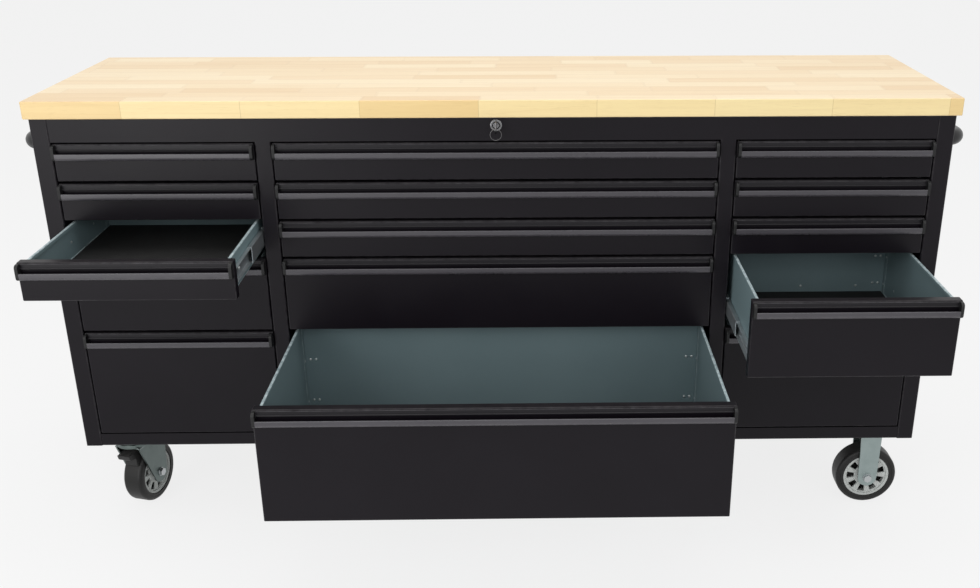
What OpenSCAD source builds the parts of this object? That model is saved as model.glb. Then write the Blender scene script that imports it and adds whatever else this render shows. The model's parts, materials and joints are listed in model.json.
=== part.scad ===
// Rolling tool cabinet: a sheet-steel body on four casters, fifteen drawers in three columns
// on telescopic slides, a wooden worktop, a push handle at each end and a key lock.
// Millimetres, +Z up, floor at Z = 0, front towards -Y.

/* [Body] */
// Width of the steel body
body_w = 1814; // [1500:2:2200]
// Depth of the steel body, front face to rear face
body_d = 480; // [460:1:620]
// Height of the steel body
body_h = 722; // [600:1:900]
// Thickness of the body's sheet steel
sheet = 1.5; // [1:0.1:2.5]
// Width of each front post, the folded front edge of a side panel
post_w = 35; // [28:1:60]
// Width of each mullion between two drawer columns
mullion_w = 32; // [26:1:60]
// Width of the drawer opening in each side column
side_col_w = 397; // [300:1:480]
// Depth of the folds behind the front posts and mullions
front_fold = 40; // [34:1:50]
// Depth of the folds at the rear of the side panels and dividers
rear_fold = 85; // [70:1:140]
// Height of the top rail above the drawers
top_rail_h = 47; // [40:1:80]
// Height of the bottom rail below the drawers
bottom_rail_h = 29; // [20:1:60]
// Depth of the flange on which the worktop is screwed
rail_flange = 60; // [40:1:100]
// Thickness of the rear panel
back_t = 1.2; // [0.8:0.1:2]
// Distance of the rear panel's edge from the body's outline
back_inset = 5; // [2:1:15]

/* [Worktop] */
// Thickness of the wooden worktop
top_t = 35; // [20:1:60]
// Overhang of the worktop at each end
top_side = 8; // [0:1:30]
// Overhang of the worktop at the front
top_front = 7; // [0:1:20]
// Overhang of the worktop at the rear
top_back = 7; // [3:1:40]
// Chamfer on the worktop's upper long edges
top_chamfer = 2; // [0.5:0.5:6]

/* [Drawers] */
// Depth of a drawer, from its front face to its rear wall
tray_d = 425; // [380:1:435]
// Gap between two fronts, one above the other
front_gap = 3.5; // [2:0.1:6]
// Gap between a front and the post or mullion beside it
side_gap = 2; // [1:0.1:4]
// Depth of the folded drawer front
front_d = 18; // [12:1:20]
// Thickness of the drawers' sheet steel
tray_t = 1.2; // [0.8:0.1:1.6]
// Height of a tray's floor above the lower edge of its front
floor_lift = 6; // [3:0.5:10]
// Distance of a tray's side walls below the upper edge of its front
wall_drop = 3; // [1:0.5:8]
// Width of the hem folded along a side wall
hem_w = 4; // [2.5:0.5:6]
// Height of the hem folded along a side wall
hem_h = 7; // [4:0.5:10]
// Thickness of the liner mat
mat_t = 2; // [1:0.5:4]
// Gap between the liner mat and the walls round it
mat_gap = 3; // [1:0.5:8]
// How far the third drawer of the left column is drawn out
open_left = 232; // [0:1:370]
// How far the fifth drawer of the centre column is drawn out
open_centre = 352; // [0:1:370]
// How far the fourth drawer of the right column is drawn out
open_right = 248; // [0:1:370]

/* [Drawer pulls] */
// How far a pull stands out from the drawer front
pull_reach = 17; // [13:1:24]
// Lower edge of a pull, below the upper edge of the front
pull_low = 32; // [28:1:40]
// Upper edge of the pull's hooked lip, below the upper edge of the front
pull_lip = 19; // [16:1:22]
// Upper edge of the pull's back plate, below the upper edge of the front
pull_top = 7; // [4:1:10]
// Wall of the pull's hook
pull_t = 3; // [2:0.5:4]
// Thickness of the pull's back plate
pull_plate = 2; // [1.5:0.5:3]
// Radius of the hook's outer corner
pull_round = 7; // [5:0.5:9]
// Width of the cap that closes each end of a pull
cap_w = 8; // [4:0.5:14]
// Upper edge of the end caps, below the upper edge of the front
cap_top = 3; // [2:0.5:6]

/* [Slides] */
// Space between a tray and the body, filled by the slide
slide_space = 12; // [11:0.1:14]
// Length of each slide member
slide_len = 395; // [360:1:400]
// Height of the slide's body member
slide_h = 35; // [27:1:45]
// Thickness of the slide members
slide_t = 1.2; // [1:0.1:1.4]
// Running gap between two slide members
slide_gap = 0.4; // [0.3:0.05:0.6]
// Front end of the slides, behind the front face of a closed drawer
slide_start = 22; // [21:0.5:26]

/* [Push handles] */
// Diameter of the handle tube
handle_d = 34; // [18:1:40]
// Clear gap between the handle tube and the side panel
handle_gap = 26; // [24:1:60]
// Distance between the two legs of a handle
handle_span = 300; // [200:5:380]
// Bend radius of the tube's centre line
handle_bend = 25; // [22:1:28]
// Height of a handle above the body's underside
handle_rise = 656; // [500:1:800]
// Diameter of the round foot on each leg
handle_foot_d = 48; // [44:1:60]
// Thickness of that foot
handle_foot_t = 4; // [2:0.5:8]

/* [Lock] */
// Height of the lock's axis below the top of the body
lock_drop = 16; // [14:1:20]
// Diameter of the lock's outer flange
lock_flange_d = 24; // [22:1:26]
// Diameter of the lock's body
lock_body_d = 19; // [16:0.5:20]
// Diameter of the turning plug
lock_plug_d = 12; // [10:0.5:13]
// Diameter of the key's bow
key_bow_d = 24; // [18:1:28]
// Thickness of the key
key_t = 2.2; // [1.6:0.1:2.6]
// Diameter of the key ring's centre line
ring_d = 22; // [20:1:26]

/* [Casters] */
// Height of a caster, floor to mounting face
caster_h = 189; // [180:1:220]
// Diameter of a wheel
wheel_d = 137; // [120:1:140]
// Width of a tyre
tyre_w = 46; // [36:1:48]
// Diameter of a rim
rim_d = 104; // [90:1:110]
// Radius of the tyre's shoulders
tyre_round = 9; // [4:0.5:12]
// Diameter of an axle
axle_d = 12; // [10:0.5:16]
// Clear width between the legs of a fork
fork_gap = 54; // [52:1:64]
// Thickness of a fork's legs
fork_t = 4; // [3:0.5:5]
// Distance of a swivel caster's wheel behind its swivel axis
trail = 38; // [30:1:44]
// Direction of the front swivel caster
front_swivel = 255; // [0:5:355]
// Direction of the rear swivel caster
rear_swivel = 160; // [0:5:355]
// Distance of a caster's centre from the end of the body
caster_inset_x = 78; // [76:1:120]
// Distance of a caster's centre from the front or rear of the body
caster_inset_y = 64; // [60:1:90]
// Number of windows in a rim
rim_windows = 9; // [5:1:12]

/* [Hidden] */
$fn = 48;
COLUMNS = ["left", "centre", "right"];
ENDS = ["front", "rear"];
SIDES = ["left", "right"];
ROW_UNITS = [1, 1, 1, 2, 3];
row_list = [0:len(ROW_UNITS) - 1];
column_list = [0:len(COLUMNS) - 1];

function drawer_name(c, r) = str("drawer_", COLUMNS[c], "_", r + 1);
function slide_name(c, r) = str("slide_", COLUMNS[c], "_", r + 1);
function tyre_name(s, e) = str(ENDS[e], "_", SIDES[s], "_tyre");
function rim_name(s, e) = str(ENDS[e], "_", SIDES[s], "_rim");

// Levels and the drawer grid
base_z = caster_h;
top_z = base_z + body_h;
open_top = top_z - top_rail_h;
floor_z = base_z + sheet;
inner_half = body_w / 2 - post_w;
centre_col_w = 2 * inner_half - 2 * side_col_w - 2 * mullion_w;
COLUMN_W = [side_col_w, centre_col_w, side_col_w];
function total(list, n) = n == 0 ? 0 : list[n - 1] + total(list, n - 1);
row_unit = (body_h - top_rail_h - bottom_rail_h) / total(ROW_UNITS, len(ROW_UNITS));
function row_top(r) = open_top - row_unit * total(ROW_UNITS, r);
function column_x(c) = -inner_half + total(COLUMN_W, c) + c * mullion_w;
function drawn(c, r) =
    c == 0 && r == 2 ? open_left
    : c == 1 && r == 4 ? open_centre
    : c == 2 && r == 3 ? open_right
    : 0;
most_drawn = max([for (c = column_list, r = row_list) drawn(c, r)]);
// The frame's origin lies under the middle of the cabinet with its drawers drawn out
front_y = (most_drawn + pull_reach - body_d - top_back) / 2;

// Nested sections of a slide, from the body inwards
outer_depth = slide_space - slide_t - 1;
web_gap = 0.6;
mid_h = slide_h - 2 * slide_t - 2 * slide_gap;
mid_start = slide_t + web_gap;
inner_h = mid_h - 2 * slide_t - 2 * slide_gap;
inner_start = mid_start + slide_t + web_gap;
slide_centre = row_unit / 2;

// Lock and key
lock_z = top_z - lock_drop;
turn_gap = 0.05;
lock_hole_gap = 0.2;
lock_flange_t = 3;
lock_depth = 22;
plug_face = 0.5;
plug_len = 20;
keyway_h = 9;
key_blade_h = 8;
key_blade_len = 16;
key_gap = 0.25;
key_bow_y = -22;
key_hole_d = 6;
key_hole_y = -28;
cam_w = 12;
cam_len = 24;
cam_t = 2;
cam_gap = 0.3;
ring_wire_d = 2;
ring_seat_gap = 0.3;
ring_z = lock_z - key_hole_d / 2 + ring_wire_d / 2 + ring_seat_gap;

// Casters
wheel_r = wheel_d / 2;
rim_r = rim_d / 2;
axle_r = axle_d / 2;
caster_plate = [100, 85, 4];
bolt_pitch = [70, 60];
bolt_r = 4.8;
bolt_gap = 0.4;
bolt_head_r = 8;
bolt_head_h = 6;
fork_half = fork_gap / 2;
swivel_leg_end = 18;
rigid_leg_end = 21;
side_play = 0.3;
hub_r = 17;
rim_wall = 6;
rim_inset = 2;
web_t = 12;
window_in = 27;
window_out = 43;
window_share = 0.62;
axle_head_r = 10;
axle_head_h = 7;
plate_z = base_z - caster_plate[2];
race_h = 13;
race_r = 36;
race_taper = 4;
race_gap = 0.4;
crown_t = 5;
crown_drop = 12;
king_r = 7;
king_gap = 0.06;
king_head_r = 11;
king_head_h = 3;
crown_z = plate_z - race_h - crown_drop;
crown_front = 28;
crown_rear = 62;
rigid_leg_half = 23;
pedal_pivot = [-14, crown_z - 14];
pedal_w = 30;
pedal_pin_r = 4;
pedal_hub_r = 6;
pedal_arm = 36;
pedal_reach = 60;
pedal_rise = 4;
pedal_nose = 9;
shoe_gap = 0.4;
shoe_near = 12;
shoe_far = 36;
shoe_drop = 33;
SWIVEL = [front_swivel, rear_swivel];

// Puts a shape drawn from the body's front face into the frame
module set_in_frame() {
    translate([0, front_y, 0]) children();
}

// Extrudes a (Y, Z) outline along X, from X = 0
module along_x(length) {
    rotate([90, 0, 90]) linear_extrude(length) children();
}

// Extrudes an (X, Z) outline along Y, from Y = 0
module along_y(length) {
    translate([0, length, 0]) rotate([90, 0, 0]) linear_extrude(length) children();
}

// Round bar along Y, from Y = 0
module rod_y(length, r) {
    rotate([-90, 0, 0]) cylinder(h = length, r = r);
}

module worktop() {
    depth = body_d + top_front + top_back;
    width = body_w + 2 * top_side;
    color("burlywood") set_in_frame()
        translate([-width / 2, -top_front, top_z]) along_x(width) polygon([
            [0, 0],
            [depth, 0],
            [depth, top_t - top_chamfer],
            [depth - top_chamfer, top_t],
            [top_chamfer, top_t],
            [0, top_t - top_chamfer]
        ]);
}

// Plan of the left side panel: skin, front post, rear flange and the two folds that carry runners
module side_plan() {
    difference() {
        square([post_w, body_d]);
        translate([sheet, sheet]) square([post_w - 2 * sheet, body_d - 2 * sheet]);
        translate([post_w / 2, front_fold]) square([post_w, body_d - front_fold - rear_fold]);
    }
}

module left_side_panel() {
    color("dimgray") set_in_frame() translate([-body_w / 2, 0, base_z]) linear_extrude(body_h) side_plan();
}

module right_side_panel() {
    mirror([1, 0, 0]) left_side_panel();
}

module back_panel() {
    width = body_w - 2 * back_inset;
    height = body_h - 2 * back_inset;
    color("dimgray") set_in_frame()
        translate([-width / 2, body_d, base_z + back_inset]) cube([width, back_t, height]);
}

// Repeats a shape at each caster's centre on the floor
module at_caster(s, e) {
    x = (2 * s - 1) * (body_w / 2 - caster_inset_x);
    y = e == 0 ? caster_inset_y : body_d - caster_inset_y;
    set_in_frame() translate([x, y, 0]) children();
}

module at_bolts() {
    for (x = [-1, 1], y = [-1, 1])
        translate([x * bolt_pitch[0] / 2, y * bolt_pitch[1] / 2, 0]) children();
}

// Floor, front rail, rear flange and side flanges, folded from one sheet
module base_pan() {
    side_len = body_d - front_fold - rear_fold;
    color("dimgray") difference() {
        set_in_frame() translate([0, 0, base_z]) {
            translate([-inner_half, 0, 0]) cube([2 * inner_half, body_d, sheet]);
            translate([-body_w / 2 + sheet, front_fold, 0]) cube([body_w - 2 * sheet, side_len, sheet]);
            for (y = [0, body_d - sheet])
                translate([-inner_half, y, 0]) cube([2 * inner_half, sheet, bottom_rail_h]);
            for (x = [-body_w / 2 + sheet, body_w / 2 - 2 * sheet])
                translate([x, front_fold, 0]) cube([sheet, side_len, bottom_rail_h]);
        }
        for (s = [0, 1], e = [0, 1])
            at_caster(s, e) at_bolts() translate([0, 0, base_z - sheet])
                cylinder(h = 3 * sheet, r = bolt_r + bolt_gap);
    }
}

// Plan of a divider: mullion channel, web and rear channel
module divider_plan() {
    half = mullion_w / 2;
    difference() {
        translate([-half, 0]) square([mullion_w, body_d]);
        translate([-half + sheet, sheet]) square([half - 1.5 * sheet, body_d - 2 * sheet]);
        translate([sheet / 2, sheet]) square([half - 1.5 * sheet, body_d - 2 * sheet]);
        translate([-mullion_w, front_fold]) square([mullion_w - sheet / 2, body_d - front_fold - rear_fold]);
        translate([sheet / 2, front_fold]) square([mullion_w, body_d - front_fold - rear_fold]);
    }
}

module divider(side) {
    x = side * (inner_half - side_col_w - mullion_w / 2);
    height = body_h - 2 * sheet;
    bottom_notch = bottom_rail_h - sheet;
    top_notch = top_rail_h - sheet;
    color("dimgray") set_in_frame() translate([x, 0, floor_z]) difference() {
        linear_extrude(height) divider_plan();
        for (y = [-sheet, body_d - sheet]) {
            translate([-mullion_w, y, -sheet]) cube([2 * mullion_w, 2 * sheet, bottom_notch + sheet]);
            translate([-mullion_w, y, height - top_notch]) cube([2 * mullion_w, 2 * sheet, top_rail_h]);
        }
    }
}

module left_divider() {
    divider(-1);
}

module right_divider() {
    divider(1);
}

// Section of a top rail: visible face and the flange under the worktop
module rail_section() {
    square([sheet, top_rail_h]);
    translate([0, top_rail_h - sheet]) square([rail_flange, sheet]);
}

module top_rail() {
    color("dimgray") set_in_frame() difference() {
        translate([-inner_half, 0, open_top]) along_x(2 * inner_half) rail_section();
        translate([0, -sheet, lock_z]) rod_y(3 * sheet, lock_body_d / 2 + lock_hole_gap);
    }
}

module rear_top_rail() {
    color("dimgray") set_in_frame() translate([-inner_half, body_d, open_top])
        mirror([0, 1, 0]) along_x(2 * inner_half) rail_section();
}

// C section with its web at X = 0 and its flanges towards +X
module c_section(height, depth) {
    difference() {
        translate([0, -height / 2]) square([depth, height]);
        translate([slide_t, -height / 2 + slide_t]) square([depth, height - 2 * slide_t]);
    }
}

// Repeats a slide member on both sides of a drawer opening, mirrored on the right
module on_both_sides(c, r) {
    z = row_top(r + 1) + slide_centre;
    translate([column_x(c), slide_start, z]) children();
    translate([column_x(c) + COLUMN_W[c], slide_start, z]) mirror([1, 0, 0]) children();
}

module cabinet_runners() {
    color("silver") set_in_frame()
        for (c = column_list, r = row_list)
            on_both_sides(c, r) along_y(slide_len) c_section(slide_h, outer_depth);
}

// The pair of middle members, which travel half as far as their drawer
module slide(c, r) {
    color("silver") set_in_frame() translate([0, -drawn(c, r) / 2, 0])
        on_both_sides(c, r) translate([mid_start, 0, 0]) along_y(slide_len)
            c_section(mid_h, outer_depth - mid_start + slide_gap);
}

// Drawer members, welded to the tray
module drawer_members(c, r) {
    depth = slide_space - inner_start;
    on_both_sides(c, r) translate([slide_space, 0, 0]) mirror([1, 0, 0])
        along_y(slide_len) c_section(inner_h, depth);
}

// Folded front: face and four returns, open to the rear
module drawer_front(width, height) {
    difference() {
        cube([width, front_d, height]);
        translate([tray_t, tray_t, tray_t]) cube([width - 2 * tray_t, front_d, height - 2 * tray_t]);
    }
}

// Tray behind the front, its left end at X = 0
module tray(width, low, high, front_low, front_high) {
    depth = tray_d - front_d;
    translate([0, front_d, front_low]) cube([width, tray_t, front_high - front_low]);
    translate([0, front_d, low]) cube([width, depth, tray_t]);
    translate([0, tray_d - tray_t, low]) cube([width, tray_t, high - low]);
    for (x = [0, width - tray_t]) translate([x, front_d, low]) cube([tray_t, depth, high - low]);
    for (x = [0, width - hem_w]) translate([x, front_d, high - hem_h]) cube([hem_w, depth, hem_h]);
}

// Section of the hooked pull, the front's face at Y = 0 and its upper edge at Z = 0
module hook(reach, low, round_r) {
    translate([-reach, -low + round_r]) square([reach, low - pull_lip - round_r]);
    translate([-reach + round_r, -low]) square([reach - round_r, round_r]);
    translate([-reach + round_r, -low + round_r]) circle(round_r);
}

module pull_section() {
    bead_r = pull_plate;
    inside = pull_reach - pull_t - pull_plate;
    difference() {
        hook(pull_reach, pull_low, pull_round);
        translate([-pull_plate, 0]) hook(inside, pull_low - pull_t, pull_round - pull_t);
        translate([-pull_reach + pull_t, -pull_lip - pull_t]) square([inside, 2 * pull_t]);
    }
    translate([-pull_plate, -pull_low]) square([pull_plate, pull_low - pull_top]);
    translate([-pull_plate, -pull_top - bead_r]) circle(bead_r);
    translate([-pull_reach + pull_t / 2, -pull_lip]) circle(pull_t / 2);
}

module cap_section() {
    corner = pull_round;
    height = pull_low - cap_top;
    translate([-pull_reach, -pull_low + corner]) square([pull_reach, height - 2 * corner]);
    translate([-pull_reach + corner, -pull_low]) square([pull_reach - corner, height]);
    for (z = [-pull_low + corner, -cap_top - corner])
        translate([-pull_reach + corner, z]) circle(corner);
}

module drawer(c, r) {
    x0 = column_x(c) + side_gap;
    width = COLUMN_W[c] - 2 * side_gap;
    z0 = row_top(r + 1) + front_gap / 2;
    z1 = row_top(r) - front_gap / 2;
    tray_x = column_x(c) + slide_space;
    tray_w = COLUMN_W[c] - 2 * slide_space;
    tray_low = z0 + floor_lift;
    mat_edge = tray_t + mat_gap;
    set_in_frame() translate([0, -drawn(c, r), 0]) {
        color("slategray") union() {
            translate([x0, 0, z0]) drawer_front(width, z1 - z0);
            translate([tray_x, 0, 0]) tray(tray_w, tray_low, z1 - wall_drop, z0, z1);
            drawer_members(c, r);
        }
        color("darkslategray") translate([x0 + cap_w, 0, z1]) along_x(width - 2 * cap_w) pull_section();
        for (x = [x0, x0 + width - cap_w])
            color("black") translate([x, 0, z1]) along_x(cap_w) cap_section();
        color("black") translate([tray_x + mat_edge, front_d + mat_edge, tray_low + tray_t])
            cube([tray_w - 2 * mat_edge, tray_d - front_d - 2 * mat_edge, mat_t]);
    }
}

module lock_housing() {
    length = lock_flange_t + lock_depth;
    color("gainsboro") set_in_frame() translate([0, -lock_flange_t, lock_z]) difference() {
        union() {
            rod_y(lock_flange_t, lock_flange_d / 2);
            rod_y(length, lock_body_d / 2);
        }
        translate([0, -1, 0]) rod_y(length + 2, lock_plug_d / 2 + turn_gap);
    }
}

// Turning plug with the cam behind it
module lock_plug() {
    start = -lock_flange_t - plug_face;
    cam_y = lock_depth + cam_gap;
    difference() {
        translate([0, start, 0]) rod_y(cam_y - start, lock_plug_d / 2);
        translate([-key_t / 2 - key_gap, start - 1, -keyway_h / 2])
            cube([key_t + 2 * key_gap, key_blade_len - start + 2, keyway_h]);
    }
    translate([-cam_w / 2, cam_y, cam_w / 2 - cam_len]) cube([cam_w, cam_t, cam_len]);
}

module key() {
    length = key_blade_len - key_bow_y;
    difference() {
        translate([-key_t / 2, key_bow_y, 0]) {
            translate([0, 0, -key_blade_h / 2]) cube([key_t, length, key_blade_h]);
            rotate([0, 90, 0]) cylinder(h = key_t, d = key_bow_d);
        }
        translate([-key_t, key_hole_y, 0]) rotate([0, 90, 0]) cylinder(h = 2 * key_t, d = key_hole_d);
    }
}

module lock_key() {
    set_in_frame() translate([0, 0, lock_z]) {
        color("silver") lock_plug();
        color("gray") key();
    }
}

module key_ring() {
    color("silver") set_in_frame() translate([0, key_hole_y, ring_z - ring_d / 2])
        rotate([90, 0, 0]) rotate_extrude() translate([ring_d / 2, 0]) circle(d = ring_wire_d, $fn = 24);
}

// Quarter bend of the handle tube in the XY plane, its centre at the origin
module handle_quarter() {
    rotate_extrude(angle = 90) translate([handle_bend, 0]) circle(d = handle_d);
}

module right_push_handle() {
    reach = handle_gap + handle_d / 2;
    leg = reach - handle_bend;
    first = body_d / 2 - handle_span / 2;
    color("silver") set_in_frame() translate([body_w / 2, first, base_z + handle_rise]) {
        for (y = [0, handle_span]) translate([0, y, 0]) rotate([0, 90, 0]) {
            cylinder(h = handle_foot_t, d = handle_foot_d);
            cylinder(h = leg, d = handle_d);
        }
        translate([leg, handle_bend, 0]) rotate([0, 0, -90]) handle_quarter();
        translate([leg, handle_span - handle_bend, 0]) handle_quarter();
        translate([reach, handle_bend, 0]) rod_y(handle_span - 2 * handle_bend, handle_d / 2);
    }
}

module left_push_handle() {
    mirror([1, 0, 0]) right_push_handle();
}

module mounting_plate() {
    difference() {
        translate([-caster_plate[0] / 2, -caster_plate[1] / 2, plate_z]) cube(caster_plate);
        at_bolts() translate([0, 0, plate_z - 1]) cylinder(h = caster_plate[2] + 2, r = bolt_r + bolt_gap);
    }
}

// Point where a line from p touches the circle of radius r about c, on one side or the other
function touch(c, r, p, side) =
    let (d = p - c, a = atan2(d[1], d[0]) + side * acos(r / norm(d)))
    c + r * [cos(a), sin(a)];

// Fork leg in (X, Z): a tapered plate from its upper edge down to the rounded end at the axle
module leg_outline(front_x, rear_x, top, axle_x, end_r) {
    axle = [axle_x, wheel_r];
    front = [front_x, top];
    rear = [rear_x, top];
    difference() {
        union() {
            polygon([rear, front, touch(axle, end_r, front, -1), touch(axle, end_r, rear, 1)]);
            translate(axle) circle(end_r);
        }
        translate(axle) circle(axle_r + turn_gap);
    }
}

module both_legs() {
    for (y = [-fork_half - fork_t, fork_half]) translate([0, y, 0]) along_y(fork_t) children();
}

// Axle bolt with its head and nut outside the fork
module axle(axle_x) {
    end = fork_half + fork_t;
    translate([axle_x, 0, wheel_r]) {
        translate([0, -end, 0]) rod_y(2 * end, axle_r);
        for (y = [-end - axle_head_h, end])
            translate([0, y, 0]) rotate([-90, 0, 0]) cylinder(h = axle_head_h, r = axle_head_r, $fn = 6);
    }
}

module rigid_caster_forks() {
    for (e = [0, 1]) at_caster(1, e) {
        color("silver") union() {
            mounting_plate();
            both_legs() leg_outline(rigid_leg_half, -rigid_leg_half, plate_z, 0, rigid_leg_end);
        }
        color("gray") axle(0);
    }
}

// Fixed half of a swivel caster: plate, upper race and king pin
module swivel_caster_plates() {
    head_z = crown_z - side_play - king_head_h;
    color("silver") for (e = [0, 1]) at_caster(0, e) {
        mounting_plate();
        translate([0, 0, plate_z - race_h]) cylinder(h = race_h, r1 = race_r, r2 = race_r - race_taper);
        translate([0, 0, head_z]) cylinder(h = plate_z - head_z, r = king_r);
        translate([0, 0, head_z]) cylinder(h = king_head_h, r = king_head_r);
    }
}

module at_swivel(e) {
    at_caster(0, e) rotate([0, 0, SWIVEL[e]]) children();
}

module swivel_fork(e) {
    width = fork_gap + 2 * fork_t;
    length = crown_rear + crown_front;
    race_top = plate_z - race_h - race_gap;
    at_swivel(e) {
        color("silver") difference() {
            union() {
                translate([-crown_rear, -width / 2, crown_z]) cube([length, width, crown_t]);
                translate([0, 0, crown_z]) cylinder(h = race_top - crown_z, r = race_r);
                both_legs() leg_outline(crown_front, -crown_rear, crown_z + crown_t, -trail, swivel_leg_end);
            }
            translate([0, 0, crown_z - 1]) cylinder(h = race_top - crown_z + 2, r = king_r + king_gap);
            translate([pedal_pivot[0], -width, pedal_pivot[1]]) rod_y(2 * width, pedal_pin_r + king_gap);
        }
        color("gray") axle(-trail);
    }
}

// Brake lever over the wheel: hub, arm with its tread, and the shoe that faces the tyre
module pedal_outline() {
    translate(pedal_pivot) circle(pedal_hub_r);
    difference() {
        translate(pedal_pivot) polygon([
            [0, pedal_hub_r],
            [pedal_arm, pedal_rise],
            [pedal_reach, pedal_rise],
            [pedal_reach - pedal_rise, -pedal_nose],
            [shoe_far, -pedal_nose - pedal_rise],
            [shoe_far, -shoe_drop],
            [shoe_near, -shoe_drop],
            [shoe_near, -pedal_hub_r],
            [0, -pedal_hub_r]
        ]);
        translate([-trail, wheel_r]) circle(wheel_r + shoe_gap, $fn = 96);
    }
}

module brake_pedal(e) {
    pin_len = fork_gap + 2 * fork_t;
    color("black") at_swivel(e) {
        translate([0, -pedal_w / 2, 0]) along_y(pedal_w) pedal_outline();
        translate([pedal_pivot[0], -pin_len / 2, pedal_pivot[1]]) rod_y(pin_len, pedal_pin_r);
    }
}

module caster_bolts() {
    grip = caster_plate[2] + sheet;
    color("gray") for (s = [0, 1], e = [0, 1]) at_caster(s, e) at_bolts() {
        translate([0, 0, plate_z]) cylinder(h = grip, r = bolt_r);
        for (z = [plate_z - bolt_head_h, plate_z + grip])
            translate([0, 0, z]) rotate([0, 0, 30]) cylinder(h = bolt_head_h, r = bolt_head_r, $fn = 6);
    }
}

// Puts a shape turned about Z on a wheel's axle
module on_axle(s, e) {
    if (s == 0) at_swivel(e) translate([-trail, 0, wheel_r]) rotate([90, 0, 0]) children();
    else at_caster(s, e) translate([0, 0, wheel_r]) rotate([90, 0, 0]) children();
}

module tyre(s, e) {
    flat = tyre_w - 2 * tyre_round;
    color("black") on_axle(s, e) rotate_extrude() {
        translate([rim_r, -tyre_w / 2]) square([wheel_r - rim_r - tyre_round, tyre_w]);
        translate([rim_r, -flat / 2]) square([wheel_r - rim_r, flat]);
        for (z = [-flat / 2, flat / 2]) translate([wheel_r - tyre_round, z]) circle(tyre_round);
    }
}

// Half section of a rim: hub, web and outer ring
module rim_section() {
    hub_w = fork_gap - 2 * side_play;
    ring_w = tyre_w - 2 * rim_inset;
    bore = axle_r + turn_gap;
    translate([bore, -hub_w / 2]) square([hub_r - bore, hub_w]);
    translate([bore, -web_t / 2]) square([rim_r - bore, web_t]);
    translate([rim_r - rim_wall, -ring_w / 2]) square([rim_wall, ring_w]);
}

module rim_window() {
    half_in = window_share * window_in * sin(180 / rim_windows);
    half_out = window_share * window_out * sin(180 / rim_windows);
    polygon([[window_in, -half_in], [window_out, -half_out], [window_out, half_out], [window_in, half_in]]);
}

module rim(s, e) {
    color("lightgray") on_axle(s, e) difference() {
        rotate_extrude() rim_section();
        for (i = [0:rim_windows - 1])
            rotate([0, 0, i * 360 / rim_windows])
                translate([0, 0, -web_t]) linear_extrude(2 * web_t) rim_window();
    }
}

worktop();
left_side_panel();
right_side_panel();
back_panel();
base_pan();
left_divider();
right_divider();
top_rail();
rear_top_rail();
cabinet_runners();
lock_housing();
lock_key();
key_ring();
left_push_handle();
right_push_handle();
swivel_caster_plates();
rigid_caster_forks();
caster_bolts();
swivel_fork(0);  // front_swivel_fork
swivel_fork(1);  // rear_swivel_fork
brake_pedal(0);  // front_brake_pedal
brake_pedal(1);  // rear_brake_pedal
for (s = [0, 1], e = [0, 1]) {
    tyre(s, e);
    rim(s, e);
}
for (c = column_list, r = row_list) {
    drawer(c, r);
    slide(c, r);
}
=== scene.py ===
import bpy
import bmesh
import json
import math
from mathutils import Matrix, Vector


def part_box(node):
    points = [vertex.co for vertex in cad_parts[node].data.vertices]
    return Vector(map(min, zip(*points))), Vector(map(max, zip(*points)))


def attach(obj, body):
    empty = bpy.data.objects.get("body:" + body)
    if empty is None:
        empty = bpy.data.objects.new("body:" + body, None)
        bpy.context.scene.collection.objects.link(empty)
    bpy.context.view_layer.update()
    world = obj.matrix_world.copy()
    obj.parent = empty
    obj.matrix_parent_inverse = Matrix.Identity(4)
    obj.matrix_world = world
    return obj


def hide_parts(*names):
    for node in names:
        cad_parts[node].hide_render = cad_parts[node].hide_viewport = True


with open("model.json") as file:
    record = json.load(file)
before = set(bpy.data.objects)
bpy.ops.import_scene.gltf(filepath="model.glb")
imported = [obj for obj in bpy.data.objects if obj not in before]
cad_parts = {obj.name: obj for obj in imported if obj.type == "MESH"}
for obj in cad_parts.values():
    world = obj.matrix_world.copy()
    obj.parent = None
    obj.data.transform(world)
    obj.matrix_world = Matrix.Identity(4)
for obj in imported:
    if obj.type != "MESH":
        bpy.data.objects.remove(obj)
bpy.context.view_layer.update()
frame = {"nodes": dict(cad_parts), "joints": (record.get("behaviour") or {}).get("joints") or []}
joints = {joint["name"]: joint for joint in frame["joints"]}
hair = 0.00001  # places closer than this count as one
print("frame loaded:", len(frame["nodes"]), "nodes")


def nodeTree(owner):
    owner.use_nodes = True
    owner.node_tree.nodes.clear()
    return owner.node_tree


def feed(tree, socket, value):  # links an output, or sets a colour or a number
    if isinstance(value, bpy.types.NodeSocket):
        tree.links.new(value, socket)
    elif socket.type == "RGBA":
        socket.default_value = (*value, 1.0)
    else:
        socket.default_value = value


def addNode(tree, kind, values=None, **settings):
    node = tree.nodes.new(kind)
    for name, value in settings.items():
        setattr(node, name, value)
    for name, value in (values or {}).items():
        feed(tree, node.inputs[name], value)
    return node


def mathNode(tree, operation, *values, clamp=False):
    node = addNode(tree, "ShaderNodeMath", dict(enumerate(values)), operation=operation, use_clamp=clamp)
    return node.outputs[0]


def times(tree, first, second):
    return mathNode(tree, "MULTIPLY", first, second)


def mixColour(tree, factor, first, second, blend="MIX"):
    values = {0: factor, 6: first, 7: second}  # the colour mix has its sockets at 6 and 7
    return addNode(tree, "ShaderNodeMix", values, data_type="RGBA", blend_type=blend).outputs[2]


def ramp(tree, source, stops):
    node = addNode(tree, "ShaderNodeValToRGB", {0: source})
    elements = node.color_ramp.elements
    while len(elements) < len(stops):
        elements.new(0.5)
    for element, (place, colour) in zip(elements, stops):
        element.position = place
        element.color = (*colour, 1.0)
    return node.outputs[0]


def objectPlace(tree):
    return addNode(tree, "ShaderNodeTexCoord").outputs["Object"]


def axesOf(tree, vector):
    return addNode(tree, "ShaderNodeSeparateXYZ", {0: vector}).outputs


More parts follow.
